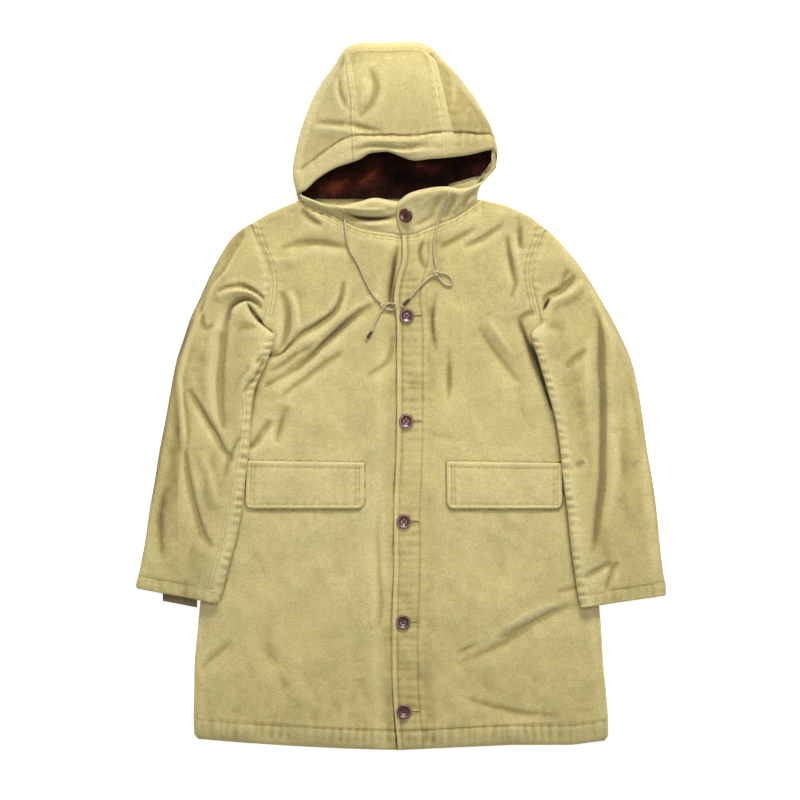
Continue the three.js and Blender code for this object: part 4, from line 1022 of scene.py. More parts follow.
def sleeve_rings(rows, sign):
    """Outer and inner rings of a sleeve, from the shoulder to the cuff."""
    length = abs(rows[-1].y - rows[0].y)
    keys = np.concatenate([[0], np.cumsum([abs(b.y - a.y) for a, b in zip(rows, rows[1:])])])
    position = np.interp(edge_spacing(length, GRID) * keys[-1], keys, np.arange(len(rows)))
    across_top = edge_spacing(150, GRID)
    across_under = edge_spacing(150, 7, rim=(0, 1, 3))
    outer_x = along_rows(rows, "outer", position)[:, None]
    inner_x = along_rows(rows, "inner", position)[:, None]
    y_out = along_rows(rows, "y", position)[:, None]
    y_in = along_rows(rows, "inner_y", position)[:, None]
    armhole = body_edge("right" if sign < 0 else "left", y_in) - sign * 1.2
    inner_x = inner_x + (armhole - inner_x) * smooth_step((y_in - 108) / 26)
    near_cuff = smooth_step((position - (len(rows) - 4)) / 3)[:, None]
    folds = RIGHT_SLEEVE_FOLDS if sign < 0 else LEFT_SLEEVE_FOLDS

    def sewn_ends(x, y):
        """Puckers and grooves at the armhole, along the underarm seam and above the cuff."""
        from_inner = np.abs(x - inner_x)
        from_cuff = y - (y_out[-1] + (y_in[-1] - y_out[-1]) * (outer_x - x) / (outer_x - inner_x))
        by_body = smooth_step((y - 125) / 16)
        relief = by_body * (0.8 * puckers(y, from_inner - 4, 9, 91) - 0.5 * groove(from_inner - 3, 1.6))
        under_arm = 1.7 * puckers(y, from_inner - 6, 8, 93) - 1.3 * groove(from_inner - 9, 1.5)
        relief += (1 - by_body) * under_arm
        relief -= (1 - by_body) * 0.9 * groove(from_inner - 3, 1.3)
        return relief + 0.5 * puckers(x, from_cuff - 12, 12, 95) - 0.9 * groove(from_cuff - 22, 1.6)

    def skin(s, is_top, inset):
        s = s[None, :]
        x, y = outer_x + (inner_x - outer_x) * s, y_out + (y_in - y_out) * s
        width = np.abs(outer_x - inner_x)
        narrow = 0.55 + 0.45 * smooth_step(width / 80)
        height = (SLEEVE_HEIGHT + (CUFF_HEIGHT - SLEEVE_HEIGHT) * near_cuff) * narrow
        sewn = smooth_step((y - (ARMHOLE_END - 12)) / 20)
        roll = np.minimum(SLEEVE_ROLL, width * 0.3)
        from_outer = rounded(width * s, roll)
        from_inner = rounded(width * (1 - s), roll * 0.55)
        from_inner = from_inner * (1 - sewn) + sewn * (0.42 + 0.58 * rounded(width * (1 - s), 14))
        half = height / 2
        rise = sleeve_rise(x, y)
        wall = inset * (LINED - 0.4 + (HEMMED - LINED) * near_cuff)
        if is_top:
            calm = smooth_step(width * s / 14) * smooth_step(width * (1 - s) / 12 + 0.35 * (1 - sewn))
            crease = calm * (1.3 * fold_lift(x, y, folds) + rumple(x, y, 23 + sign, 1.25))
            crease = crease + sewn_ends(x, y)
            z = rise + half + half * from_outer * from_inner + crease - wall
            z = np.maximum(z, rise + 0.8 + half * 0.2)
        else:
            z = rise + half - half * from_outer * np.maximum(from_inner, sewn) + wall
        x = np.clip(x * sign, inner_x * sign + wall, outer_x * sign - wall) * sign if inset else x
        return stacked(x, y, z)

    def ring(inset):
        top = skin(across_top, True, inset)
        under = skin(across_under, False, inset)[:, ::-1][:, 1:-1]
        pad = -(top.shape[1] + under.shape[1]) % UNDER_STEP
        if pad:
            under = np.concatenate([under, np.repeat(under[:, -1:], pad, 1) + 0.01], 1)
        return np.concatenate([top, under], 1)

    return ring(0), ring(1)


# Path of the left sleeve's long trough, along which shade is painted
LEFT_SLEEVE_TROUGH = [
    (325, -269), (331, -210), (336, -159), (338, -91), (338, -6), (335, 62), (332, 130), (322, 176),
]


def sleeve_tone_and_shade(points, sign):
    """Painted shade on the cloth beyond the ridge down a sleeve, and along the left one's long trough."""
    x, y = np.abs(points[..., 0]), points[..., 1]
    ridge_x, ridge_y = zip(*RIGHT_SLEEVE_RIDGE[::-1])
    beyond = x - np.interp(y, ridge_y, np.abs(ridge_x))
    tone_and_shade = -(1.05 if sign < 0 else 0.4) * smooth_step(beyond / 7) * smooth_step((y + 330) / 200)
    if sign > 0:
        trough_x, trough_y = zip(*LEFT_SLEEVE_TROUGH)
        shade = 0.6 * groove(x - np.interp(y, trough_y, trough_x), 15)
        tone_and_shade -= shade * smooth_step((y + 290) / 60) * smooth_step((190 - y) / 60)
    return tone_and_shade


CUFF_ROUNDING = ((-1, 1.7), (-2, 0.9), (-3, 0.35))  # rings from the end, and how much lower they are


def build_sleeve(name, rows, sign):
    outer, inner = sleeve_rings(rows, sign)
    for k, drop in CUFF_ROUNDING:
        outer[k, :, 2] += np.where(outer[k, :, 2] > inner[k, :, 2], -drop, drop)
    made = tube(f"{name}_cloth", outer, inner, SHELL_CLOTH, flip=sign > 0, tone_and_light=sleeve_tone_and_shade(outer, sign))
    set_weave_map(made, weave_places(np.stack([lengths_along(outer, 1), outer[..., 1]], -1)))
    declare_cloth(made, "shell_cloth", [name], area=skin_area(outer))
    return made


# Hood: one closed surface, cut into its panels

HOOD_COLUMNS = {
    "floor_right": 12, "roll_right": 12, "top_right": 28, "centre": 60,
    "top_left": 24, "roll_left": 12, "floor_left": 12,
}
LEFT_CORNER_LINE = [
    Edge(130, 330), Edge(129, 351), Edge(134, 366), Edge(146, 375), Edge(156, 388), Edge(163, 405),
    Edge(166, 422), Edge(170, 440), Edge(200, 460),
]
BRIM_LINE = [
    Edge(-162, 352), Edge(-138, 370), Edge(-112, 385), Edge(-87, 395), Edge(-70, 402), Edge(-53, 412),
    Edge(-39, 414), Edge(-22, 414), Edge(-2, 407), Edge(17, 400), Edge(49, 402), Edge(83, 405),
    Edge(117, 410), Edge(146, 417),
]


def brim_shift(x):
    """How far the brim's edge wanders from the smooth first hood section."""
    first = HOOD_ROWS[0]
    plain_x, plain_y = zip((-162, 349), first.seam_right, first.middle, first.seam_left, (148, 417))
    plain = curve_through(plain_x, plain_y, x)
    return curve_through(column(BRIM_LINE, "x"), column(BRIM_LINE, "y"), x) - plain


HoodSide = namedtuple("HoodSide", "sign edge seam reach shift floor_x")


def hood_sides(row):
    """Each side's rolled edge, shifted so that its roll reaches just as far out as the table says."""
    sides = {}
    down = np.linspace(0, 1, 33)
    for name, sign in (("right", -1), ("left", 1)):
        edge, seam, floor_x = row[name], row[f"seam_{name}"], row[f"floor_{name}"]
        reach = min(HOOD_ROLL, abs(seam[0] - edge[0]) * 0.6)
        profile = sign * (floor_x - edge[0]) * down**2 - reach * (1 - np.sin(np.pi * down))
        sides[name] = HoodSide(sign, edge, seam, reach, -sign * profile.max(), floor_x)
    return sides


def hood_ring(position):
    """A loop around the hood, from the floor seam over the right edge, top and left edge."""
    row = {name: along_rows(HOOD_ROWS, name, position) for name in HoodRow._fields}
    sides = hood_sides(row)
    start = row["right"] + [sides["right"].reach + sides["right"].shift, 0]
    end = row["left"] + [sides["left"].shift - sides["left"].reach, 0]
    controls = np.stack([start, row["seam_right"], row["middle"], row["seam_left"], end])
    keys = lengths_along(controls)
    middle_x, half_width = (start[0] + end[0]) / 2, (end[0] - start[0]) / 2
    half = row["edge"] / 2

    def top(low, high, count):
        at = np.linspace(low, high, count + 1)
        x, y = (curve_through(keys, controls[:, axis], at) for axis in range(2))
        across = np.clip(np.abs(x - middle_x) / half_width, 0, 1)
        y = y + (1 - smooth_step(position)) * smooth_step((1 - across) * 7) * brim_shift(x)
        return stacked(x, y, row["height"] + (row["edge"] - row["height"]) * across**2.4)

    def roll(name):
        side = sides[name]
        angle = np.linspace(-math.pi / 2, math.pi / 2, HOOD_COLUMNS[f"roll_{name}"] + 1)
        down = (math.pi / 2 - angle) / math.pi
        lean = (side.floor_x - side.edge[0]) * down**2
        x = side.edge[0] + side.shift + lean - side.sign * side.reach * (1 - np.cos(angle))
        y = side.edge[1] + (row["floor_y"] - side.edge[1]) * down
        if name == "left":
            corner = curve_through(column(LEFT_CORNER_LINE, "y"), column(LEFT_CORNER_LINE, "x"), y)
            x = np.minimum(x, corner)
        return stacked(x, y, half + half * np.sin(angle))

    def floor(name):
        side, count = sides[name], HOOD_COLUMNS[f"floor_{name}"]
        edge_x = side.floor_x - side.sign * side.reach
        seam_x = min(side.seam[0], edge_x - 4) if name == "left" else max(side.seam[0], edge_x + 4)
        x = np.linspace(seam_x, edge_x, count + 1)
        return stacked(x, np.full(count + 1, row["floor_y"]), np.zeros(count + 1))

    top_right = top(keys[0], keys[1], HOOD_COLUMNS["top_right"])
    top_left = top(keys[3], keys[4], HOOD_COLUMNS["top_left"])
    return {
        "right": np.concatenate([floor("right")[:-1], roll("right")[:-1], top_right]),
        "centre": top(keys[1], keys[3], HOOD_COLUMNS["centre"]),
        "left": np.concatenate([top_left[:-1], roll("left")[::-1][:-1], floor("left")[::-1]]),
    }


def hood_relief(points, position):
    """Folds, seams and the gathered casing of the brim, added to the height of the top."""
    x, y, z = points[..., 0], points[..., 1], points[..., 2]
    on_top = smooth_step((z - 16) / 12)
    seam_lines = np.zeros_like(x)
    for name, side, deep in (("seam_right", 1, 0.9), ("seam_left", -1, 0.35)):
        away = side * (x - along_rows(HOOD_ROWS, name, np.clip(position, 0, CROWN))[..., 0])
        seam_lines -= deep * groove(away, 1.2)
        seam_lines += 1.1 * smooth_step(away / 1.6) * smooth_step((11.5 - away) / 1.6)
        seam_lines -= 0.5 * groove(away - 2.6, 1.1) + 0.5 * groove(away - 8.8, 1.1)
        seam_lines += 0.45 * puckers(y, away - 5, 9, 57)
    band = np.clip(position, 0, 1)
    along_brim = position * CASING_WIDTH
    casing = CASING_WIDTH * 1.03 + 2.4 * undulation(x, y * 0, 37, 58) + 1.3 * undulation(x, y * 0, 11, 62)
    deep = 2.1 + 1.3 * undulation(x, y * 0, 23, 59) + 1.3 * groove(x + 12, 60)
    puff = 2.1 * np.sin(np.pi * band) ** 0.7 - deep * groove(along_brim - casing, 1.9)
    in_middle = groove(x + 5, 66)
    gathers = (0.5 + 0.9 * in_middle) * puckers(x, along_brim - 31, 13, 60)
    lower_crease = 3.4 * in_middle * groove(along_brim - 17 - 3 * undulation(x, y * 0, 31, 61), 2.6)
    gathers = gathers - lower_crease + 2.2 * in_middle * groove(along_brim - 25, 4.5)
    brim = -4.5 * (1 - rounded(along_brim, 7))
    calm = smooth_step(along_brim / 8)
    calm = calm * (1 - smooth_step((position - 5.2) / 0.8))
    folds = calm * (1.5 * fold_lift(x, y, HOOD_FOLDS) + rumple(x, y, 31, 1.0))
    seam_lines = seam_lines * (1 - 0.8 * smooth_step((position - 5.6) / 0.4))
    lifted = points.copy()
    lifted[..., 2] += on_top * (seam_lines + puff + gathers + folds) + np.where(z > 1, brim, 0)
    lifted[..., 2] = np.maximum(lifted[..., 2], 0)
    return lifted


def normals_of(grid, closed=False):
    along = np.gradient(grid, axis=0)
    across = np.gradient(grid, axis=1)
    if closed:
        across = (np.roll(grid, -1, 1) - np.roll(grid, 1, 1)) / 2
    normal = np.cross(along, across)
    return normal / np.maximum(1e-9, np.linalg.norm(normal, axis=-1, keepdims=True))


# Tone of each hood panel: the centre and right ones paler, the left one darkened by painted shade
HOOD_TONE_AND_SHADE = {"hood_centre": 0.12, "hood_side_right": 0.2, "hood_side_left": -0.95}
CLOSING_STEPS = 8           # rows that close a side panel over the crown
CROWN_STEPS = 16            # rows of the centre panel's turn at the crown


def build_hood():
    """The three panels of the hood, and the surface that its facing and lining follow."""
    positions = CROWN * edge_spacing(230, GRID)
    rings = [hood_ring(position) for position in positions]
    grids = {name: np.stack([ring[name] for ring in rings]) for name in ("right", "centre", "left")}
    at_crown = np.full(CLOSING_STEPS, float(CROWN))
    panels = []
    for name, seam_column in (("right", -1), ("left", 0)):
        grid = grids[name]
        seam = grid[-1, seam_column]
        half = seam[2] / 2
        level = np.clip((grid[-1, :, 2] - half) / half, -1, 1)
        arc_y = seam[1] + CROWN_ROLL * np.sqrt(1 - level**2)
        closing = []
        for turn in np.linspace(0, 1, CLOSING_STEPS + 1)[1:]:
            x = grid[-1, :, 0] + (seam[0] - grid[-1, :, 0]) * turn
            y = grid[-1, :, 1] + (arc_y - grid[-1, :, 1]) * (1 - (1 - turn) ** 1.3)
            closing.append(stacked(x, y, grid[-1, :, 2]))
        along = np.concatenate([positions, at_crown])
        upper = hood_relief(np.concatenate([grid, np.stack(closing)]), along[:, None])
        normal = normals_of(upper)
        outward = np.sign(normal[len(upper) // 3, upper.shape[1] // 2, 2])
        panels.append((f"hood_side_{name}", upper, upper - outward * normal * HOOD_WALL, along))
    top = hood_relief(grids["centre"], positions[:, None])
    half = grids["centre"][-1, :, 2] / 2
    crown = []
    for turn in np.linspace(math.pi / 2, -math.pi / 2, CROWN_STEPS + 1)[1:-1]:
        ring = grids["centre"][-1].copy()
        ring[:, 1] += CROWN_ROLL * math.cos(turn)
        ring[:, 2] = half + half * math.sin(turn)
        crown.append(ring)
    floor = grids["centre"][::-1].copy()
    floor_y = along_rows(HOOD_ROWS, "floor_y", positions[::-1])[:, None]
    floor[..., 1] = floor_y + (floor[..., 1] - floor_y) * smooth_step(positions[::-1] - (CROWN - 1))[:, None]
    floor[..., 2] = 0
    upper = np.concatenate([top, np.stack(crown), floor])
    upper = np.concatenate([upper, np.repeat(upper[-1:], -(len(upper) - 1) % UNDER_STEP, 0)])
    along = np.concatenate([positions, np.full(len(crown), float(CROWN)), positions[::-1]])
    along = np.pad(along, (0, len(upper) - len(along)))
    normal = normals_of(upper)
    outward = np.sign(normal[20, 30, 2])
    normal[-8:] = (0, 0, -outward)
    panels.append(("hood_centre", upper, upper - normal * outward * HOOD_WALL, along))
    for name, upper, under, along in panels:
        in_casing = 1 - smooth_step((along - 0.9) / 0.15)
        # Paler in the casing, and darker towards the crown by painted shade
        tone_and_shade = HOOD_TONE_AND_SHADE[name] + 0.6 * in_casing - 0.75 * smooth_step((along - 4.2) / 1.6)
        tone_and_light = np.maximum(tone_and_shade, -1)[:, None]
        piece = shell(f"{name}_cloth", upper, under, SHELL_CLOTH, tone_and_light=tone_and_light)
        places = np.stack([lengths_along(upper, 1), lengths_along(upper, 0)], -1)
        set_weave_map(piece, weave_places(places))
        declare_cloth(piece, "shell_cloth", [name], area=skin_area(upper))
    return positions, grids


FLOOR_COLUMNS = 20          # of the centre panel where it lies on the floor
FACING_ROWS = 12
FACING_START = 0.03         # where the facing begins, in hood sections from the mouth
LINING_ROWS = 64
LINING_END = 5.4            # where the lining ends, in hood sections


def hood_loop(grids):
    """The panels and the floor between them joined into closed rings."""
    across = np.linspace(0, 1, FLOOR_COLUMNS + 1)[None, 1:-1, None]
    left, right = grids["left"][:, -1:], grids["right"][:, :1]
    floor = left + (right - left) * across
    return np.concatenate([grids["right"][:, :-1], grids["centre"][:, :-1], grids["left"], floor], 1)


def rows_at(grid, positions, wanted):
    """A grid of points resampled along its rows, at a wanted position for each place."""
    out = np.zeros((wanted.shape[0], grid.shape[1], 3))
    for k in range(grid.shape[1]):
        for axis in range(3):
            out[:, k, axis] = np.interp(wanted[:, k], positions, grid[:, k, axis])
    return out


def build_hood_inside(positions, grids):
    """The cloth facing of the mouth, and the pile lining behind it and on the nape."""
    loop = hood_loop(grids)
    normal = normals_of(loop, closed=True)
    inward = -normal * np.sign(normal[20, 80, 2])
    height = loop[0, :, 2] / loop[0, :, 2].max()
    first = HOOD_COLUMNS["floor_right"]
    last = loop.shape[1] - FLOOR_COLUMNS
    from_middle = loop[0, :, 0]
    least = 0.12 + 0.42 * smooth_step((from_middle - 30) / 45) + 0.3 * smooth_step((from_middle - 75) / 50)
    depth = least + (FACING_DEPTH - least) * smooth_step(height * 3)
    t = np.linspace(0, 1, FACING_ROWS + 1)[:, None]
    span = slice(first, first + (last - first) // UNDER_STEP * UNDER_STEP + 1)
    wanted = (FACING_START + (depth - FACING_START) * t)[:, span]
    outside = rows_at(loop[:, span], positions, wanted)
    inwards = rows_at(inward[:, span], positions, wanted)
    outer = outside + inwards * (HOOD_WALL + LINING_GAP + FACING_WALL)
    inner = outside + inwards * (HOOD_WALL + LINING_GAP)
    outer[..., 2], inner[..., 2] = np.maximum(outer[..., 2], 0.5), np.maximum(inner[..., 2], 0.3)
    facing = shell("hood_facing_cloth", outer, inner, SHELL_CLOTH, flip=True)
    set_weave_map(facing, weave_places(outer))
    declare_cloth(facing, "shell_cloth", ["hood_facing"], area=skin_area(outer))

    behind_facing = np.maximum(smooth_step(height * 2), smooth_step((from_middle - 62) / 22))
    start = FACING_START + (depth - FACING_START) * behind_facing
    rings = np.linspace(0, 1, LINING_ROWS + 1)[:, None]
    wanted = start + (LINING_END - start) * rings
    outside = rows_at(loop, positions, wanted)
    inwards = rows_at(inward, positions, wanted)
    seen = outside + inwards * (HOOD_WALL + LINING_GAP + PILE_DEPTH)
    back = outside + inwards * (HOOD_WALL + LINING_GAP)
    x, y = seen[..., 0], seen[..., 1]
    clump = 1.1 * undulation(x, y, 9, 51) + 0.6 * undulation(x, y, 4, 52)
    seen += inwards * clump[..., None]
    lining = tube("hood_lining_cloth", back, seen, PILE, step=1)
    both = np.concatenate([back.reshape(-1, 3), seen.reshape(-1, 3)])
    set_weave_map(lining, both[:, :2])
    # The lining's attribute holds only the light and shade painted on the pile
    lining.data.attributes.remove(lining.data.attributes["wear_and_shade"])
    set_wear_and_shade(lining, painted_pile_light(both[:, 0], both[:, 1]))
    tufts = build_tufts(seen, inwards)
    declare_cloth(
        lining, "pile_lining", ["hood_lining"],
        area=skin_area(seen),
    )


# Patches of light painted on the pile: centre, half width, half height and strength
PAINTED_PILE_LIGHT = [
    (-118, 352, 26, 13, 1.5), (-96, 366, 20, 12, 1.2), (-46, 384, 15, 22, 1.3), (-62, 366, 14, 13, 0.9),
    (36, 391, 26, 7, 1.3), (62, 384, 20, 8, 0.8), (128, 388, 22, 14, 0.55),
]


def painted_pile_light(x, y):
    """Light painted on the pile: above 0 in its lit patches, towards -1, for painted shade, elsewhere."""
    light = -0.95 + 0 * x
    for centre_x, centre_y, wide, high, strength in PAINTED_PILE_LIGHT:
        light += strength * groove(x - centre_x, wide) * groove(y - centre_y, high)
    return np.clip(light + 0.35 * undulation(x, y, 11, 53) + 0.25 * undulation(x, y, 4, 54), -1, 1)


TUFT_COUNT = 15000
TUFT_LENGTH = 5.5
TUFT_WIDTH = 0.42
TUFT_ROWS = 34              # of the lining, from the mouth
TUFT_FACES = [(0, 1, 4, 3), (1, 2, 5, 4), (2, 0, 3, 5), (3, 4, 6), (4, 5, 6), (5, 3, 6), (2, 1, 0)]


def build_tufts(surface, inwards):
    """Short curled hairs of the pile, over the part of the lining that the mouth shows."""
    random = np.random.default_rng(77)
    row = random.uniform(0, TUFT_ROWS, TUFT_COUNT)
    place = random.uniform(0, inwards.shape[1] - 2, TUFT_COUNT)
    i, j = row.astype(int), place.astype(int)
    root = surface[i, j] + (surface[i + 1, j] - surface[i, j]) * (row - i)[:, None]
    root = root + (surface[i, j + 1] - surface[i, j]) * (place - j)[:, None]
    along = inwards[i, j] + (random.normal(0, 0.55, (TUFT_COUNT, 3)) + [0, -0.35, 0])
    along /= np.linalg.norm(along, axis=1, keepdims=True)
    length = TUFT_LENGTH * random.uniform(0.5, 1.2, TUFT_COUNT)[:, None]
    side = np.cross(along, random.normal(0, 1, (TUFT_COUNT, 3)))
    side /= np.linalg.norm(side, axis=1, keepdims=True)
    third = np.cross(along, side)
    bend = root + along * length * 0.55 + side * 0.5
    tip = root + along * length * 0.9 + side * random.uniform(0.6, 2.2, (TUFT_COUNT, 1))
    corners = []
    for centre, size, back in ((root, 1, 0.5), (bend, 0.7, 0.4)):
        low, wing = centre - side * TUFT_WIDTH * back, third * TUFT_WIDTH * size
        corners += [centre + side * TUFT_WIDTH * size, low + wing, low - wing]
    points = np.stack([*corners, tip], 1).reshape(-1, 3)
    each = len(corners) + 1
    faces = [tuple(k * each + corner for corner in face) for k in range(TUFT_COUNT) for face in TUFT_FACES]
    made = make_object("hood_lining_tufts", points, faces, PILE)
    set_wear_and_shade(made, np.repeat(painted_pile_light(root[:, 0], root[:, 1]), each))
    declare(made, "pile_lining")
    return made


# Throat pieces

RIGHT_THROAT_FOLDS = [
    Fold([(-98, 311), (-70, 304), (-45, 302.5), (-14, 305), (-2, 309)], 4, 7, -10),
    Fold([(-108, 320), (-60, 316), (-20, 318)], 6, 6, 5),
    Fold([(-80, 296), (-50, 291), (-15, 294)], 5, 5, 3),
    Fold([(-158, 330), (-138, 317), (-116, 306)], 4, 5, -4.5),
    Fold([(-150, 332), (-128, 320), (-104, 312)], 5, 5, 3),
]
LEFT_THROAT_FOLDS = [
    Fold([(92, 345), (84, 322), (72, 300)], 5, 6, -4.5),
    Fold([(104, 345), (98, 328), (90, 312)], 5, 5, 3.5),
    Fold([(126, 352), (112, 335), (104, 318)], 4, 5, -4.5),
    Fold([(128, 340), (118, 330), (112, 322)], 4, 4, 3),
    Fold([(30, 322), (50, 336), (72, 344)], 8, 8, 2.5),
    Fold([(22, 290), (40, 298), (60, 312)], 5, 6, -3),
    Fold([(70, 350), (60, 326), (48, 306)], 7, 7, -2.5),
]


def build_throat(name, columns, folds, bulge):
    length, rise = columns[-1].seam_x - columns[0].seam_x, 62
    across = edge_spacing(length, 2.2) * (len(columns) - 1)
    up = edge_spacing(rise, 1.8)[:, None]
    seam_x = along_rows(columns, "seam_x", across)[None, :]
    seam_y = line_y(SHOULDER_AND_NECK_LINE, seam_x) + 0.4
    lip = along_rows(columns, "lip", across)[None, :, :]
    under = along_rows(columns, "under", across)[None, :]
    lip_height = along_rows(columns, "lip_height", across)[None, :]
    x = seam_x + (lip[..., 0] - seam_x) * up
    y = seam_y + (lip[..., 1] - seam_y) * up
    from_front = np.abs(x - (columns[0].seam_x if bulge < 0 else columns[-1].seam_x))
    x = x + bulge * np.sin(np.pi * up) * np.exp(-((from_front / 30) ** 2))
    from_back = np.abs(x - (columns[-1].seam_x if bulge < 0 else columns[0].seam_x))
    x = x - (4.5 if bulge < 0 else 0) * np.sin(np.pi * up) * np.exp(-((from_back / 12) ** 2))
    wall = 3.8 + 3.2 * up
    run = np.hypot(lip[..., 0] - seam_x, lip[..., 1] - seam_y)
    to_lip, to_seam = run * (1 - up), run * up
    z = under + (lip_height - under) * (smooth_step(up) * 0.6 + up * 0.4) + wall
    z = z + 2.4 * np.exp(-(((to_lip - 9) / 7) ** 2)) - 7 * (1 - rounded(to_lip, 8))
    z = z - 1.6 * np.exp(-((to_seam / 2.5) ** 2))
    ends = np.minimum(across, across[-1] - across)[None, :] * length / (len(columns) - 1)
    z = z - 1.8 * (1 - rounded(ends, 2.6))
    calm = smooth_step(to_lip / 8) * smooth_step(to_seam / 8) * smooth_step(ends / 6)
    z = z + calm * (fold_lift(x, y, folds) + rumple(x, y, 41, 0.8))
    upper = stacked(x, y, z)
    below = stacked(x, y, z - wall + 1.5 * (1 - rounded(to_lip, 8)))
    made = shell(f"{name}_cloth", upper, below, SHELL_CLOTH, tone_and_light=0.6)
    set_weave_map(made, weave_places(upper))
    declare_cloth(made, "shell_cloth", [name], area=skin_area(upper))
    return made


# Pocket flaps

FLAP_CORNER = 15


def build_flap(name, flap, is_left):
    width, drop = 200, 80
    s = edge_spacing(width, 2.2)[None, :]
    t = edge_spacing(drop, 2.2)[:, None]
    a, b = width * s + 0 * t, drop * t + 0 * s
    for near_x in (a, width - a):
        u = np.clip(1 - near_x / FLAP_CORNER, 0, 1)
        v = np.clip(1 - (drop - b) / FLAP_CORNER, 0, 1)
        corner = (u > 0) & (v > 0)
        scale = np.where(corner, np.maximum(u, v) / np.maximum(1e-6, np.hypot(u, v)), 1)
        shift = FLAP_CORNER * u * (1 - scale)
        a = np.where(corner, a + (shift if near_x is a else -shift), a)
        b = np.where(corner, b - FLAP_CORNER * v * (1 - scale), b)
    s, t = a / width, b / drop
    (right_x, right_y), (left_x, left_y) = flap.top_right, flap.top_left
    x_top, y_top = right_x + (left_x - right_x) * s, right_y + (left_y - right_y) * s
    x_low = flap.drop[0] + (flap.drop[1] - flap.drop[0]) * s
    x, y = x_top + (x_low - x_top) * t, y_top + (flap.bottom - y_top) * t
    y = y + 1.2 * undulation(x, y, 60, 61) * t * (1 - t) * 4
    seat = front_height(x, y, is_left) + 0.5
    edge = np.minimum(np.minimum(a, width - a), np.minimum(b, drop - b))
    side = np.minimum(a, width - a)
    wall = 3.4 + 0.7 * np.exp(-(((edge - 4) / 3) ** 2)) + 0.9 * smooth_step(edge / 30)
    for away, line in ((side, 8.5), (side, 15), (b, 10), (drop - b, 7)):
        wall = wall - 0.8 * np.exp(-(((away - line) / 1.5) ** 2))
    tucks = 0.4 * puckers(a, b - 10, 8, 97) + 0.35 * puckers(a, drop - b - 7, 7, 98)
    tucks = tucks + 0.35 * puckers(b, side - 11, 9, 99)
    lift = 1.2 * smooth_step(t) + 0.7 * rumple(x, y, 71, 1.0) * smooth_step(edge / 10) + tucks
    z = seat + np.maximum(0, lift) + 0.8 + (wall - 0.8) * rounded(edge, 2.4)
    upper = stacked(x, y, z)
    made = shell(f"{name}_cloth", upper, stacked(x, y, seat), SHELL_CLOTH, flip=True, tone_and_light=0.6)
    set_weave_map(made, weave_places(upper))
    declare_cloth(made, "shell_cloth", [name], area=skin_area(upper))
    return made


# Knitted storm cuffs, inside the sleeve ends

KNIT_RIB = 3.6
KNIT_LENGTH = 48            # of the cuff that is built, mostly inside the sleeve
KNIT_MIDDLE = 7.4           # above the sleeve's lower ply


def build_knit(name, rows, proud):
    low, high = (np.array(corner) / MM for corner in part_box(name))
    last = rows[-1]
    along = np.linspace(0, 1, 25)[:, None]
    turn = np.linspace(0, 2 * math.pi, 161)[:-1][None, :]
    half_width, half_height = (high[0] - low[0]) / 2 * 0.68, 2.7
    ribs = 0.35 * np.cos(turn * 2 * half_width / KNIT_RIB)
    x = (low[0] + high[0]) / 2 + half_width * np.sign(np.cos(turn)) * np.abs(np.cos(turn)) ** 0.9 + 0 * along
    s = (last.outer - x) / (last.outer - last.inner)
    end_y = last.y + (last.inner_y - last.y) * s - proud
    y = end_y + KNIT_LENGTH * (1 - along)
    rise = sleeve_rise(x, y)
    shape = np.sign(np.sin(turn)) * np.abs(np.sin(turn)) ** 0.6
    end = rounded((1 - along) * KNIT_LENGTH, 2.5)
    z = rise + KNIT_MIDDLE + (half_height * (0.4 + 0.6 * end) + ribs) * shape
    outer = stacked(x, y, z)
    inner = stacked(x * 0.98 + 0.02 * (low[0] + high[0]) / 2, y, rise + KNIT_MIDDLE + 0.9 * shape)
    made = tube(f"{name}_cloth", outer, inner, KNIT, flip=True)
    set_weave_map(made, weave_places(outer))
    declare_cloth(made, "knit_cuff", [name], area=skin_area(outer))
    return made


# Where things lie on the cloth


def tree_over(objects):
    """A search tree over the meshes of several objects, in metres."""
    points, polygons = [], []
    for made in objects:
        start = len(points)
        points += [vertex.co.copy() for vertex in made.data.vertices]
        polygons += [[start + k for k in face.vertices] for face in made.data.polygons]
    return BVHTree.FromPolygons(points, polygons)


def height_at(tree, x, y):
    hit, normal, _, _ = tree.ray_cast(Vector((x * MM, y * MM, 0.2)), Vector((0, 0, -1)))
    if hit is None:
        return 0.0, Vector((0, 0, 1))
    return hit.z / MM, normal if normal.z > 0 else -normal


# Buttons

BUTTON_PROFILE = [
    Edge(0, 2.3), Edge(4.4, 2.35), Edge(6.0, 2.7), Edge(8.4, 3.8), Edge(9.6, 4.3), Edge(10.6, 4.4),
    Edge(11.5, 4.25), Edge(12.2, 3.4), Edge(12.5, 2.2), Edge(12.0, 1.0), Edge(10.4, 0.1), Edge(0, 0),
]
HOLE_PLACES = [(2.1, 2.1), (-2.1, 2.1), (-2.1, -2.1), (2.1, -2.1)]
HOLE_RADIUS = 1.15
HOLE_DEPTH = 2.0
BUTTON_SECTORS = 72


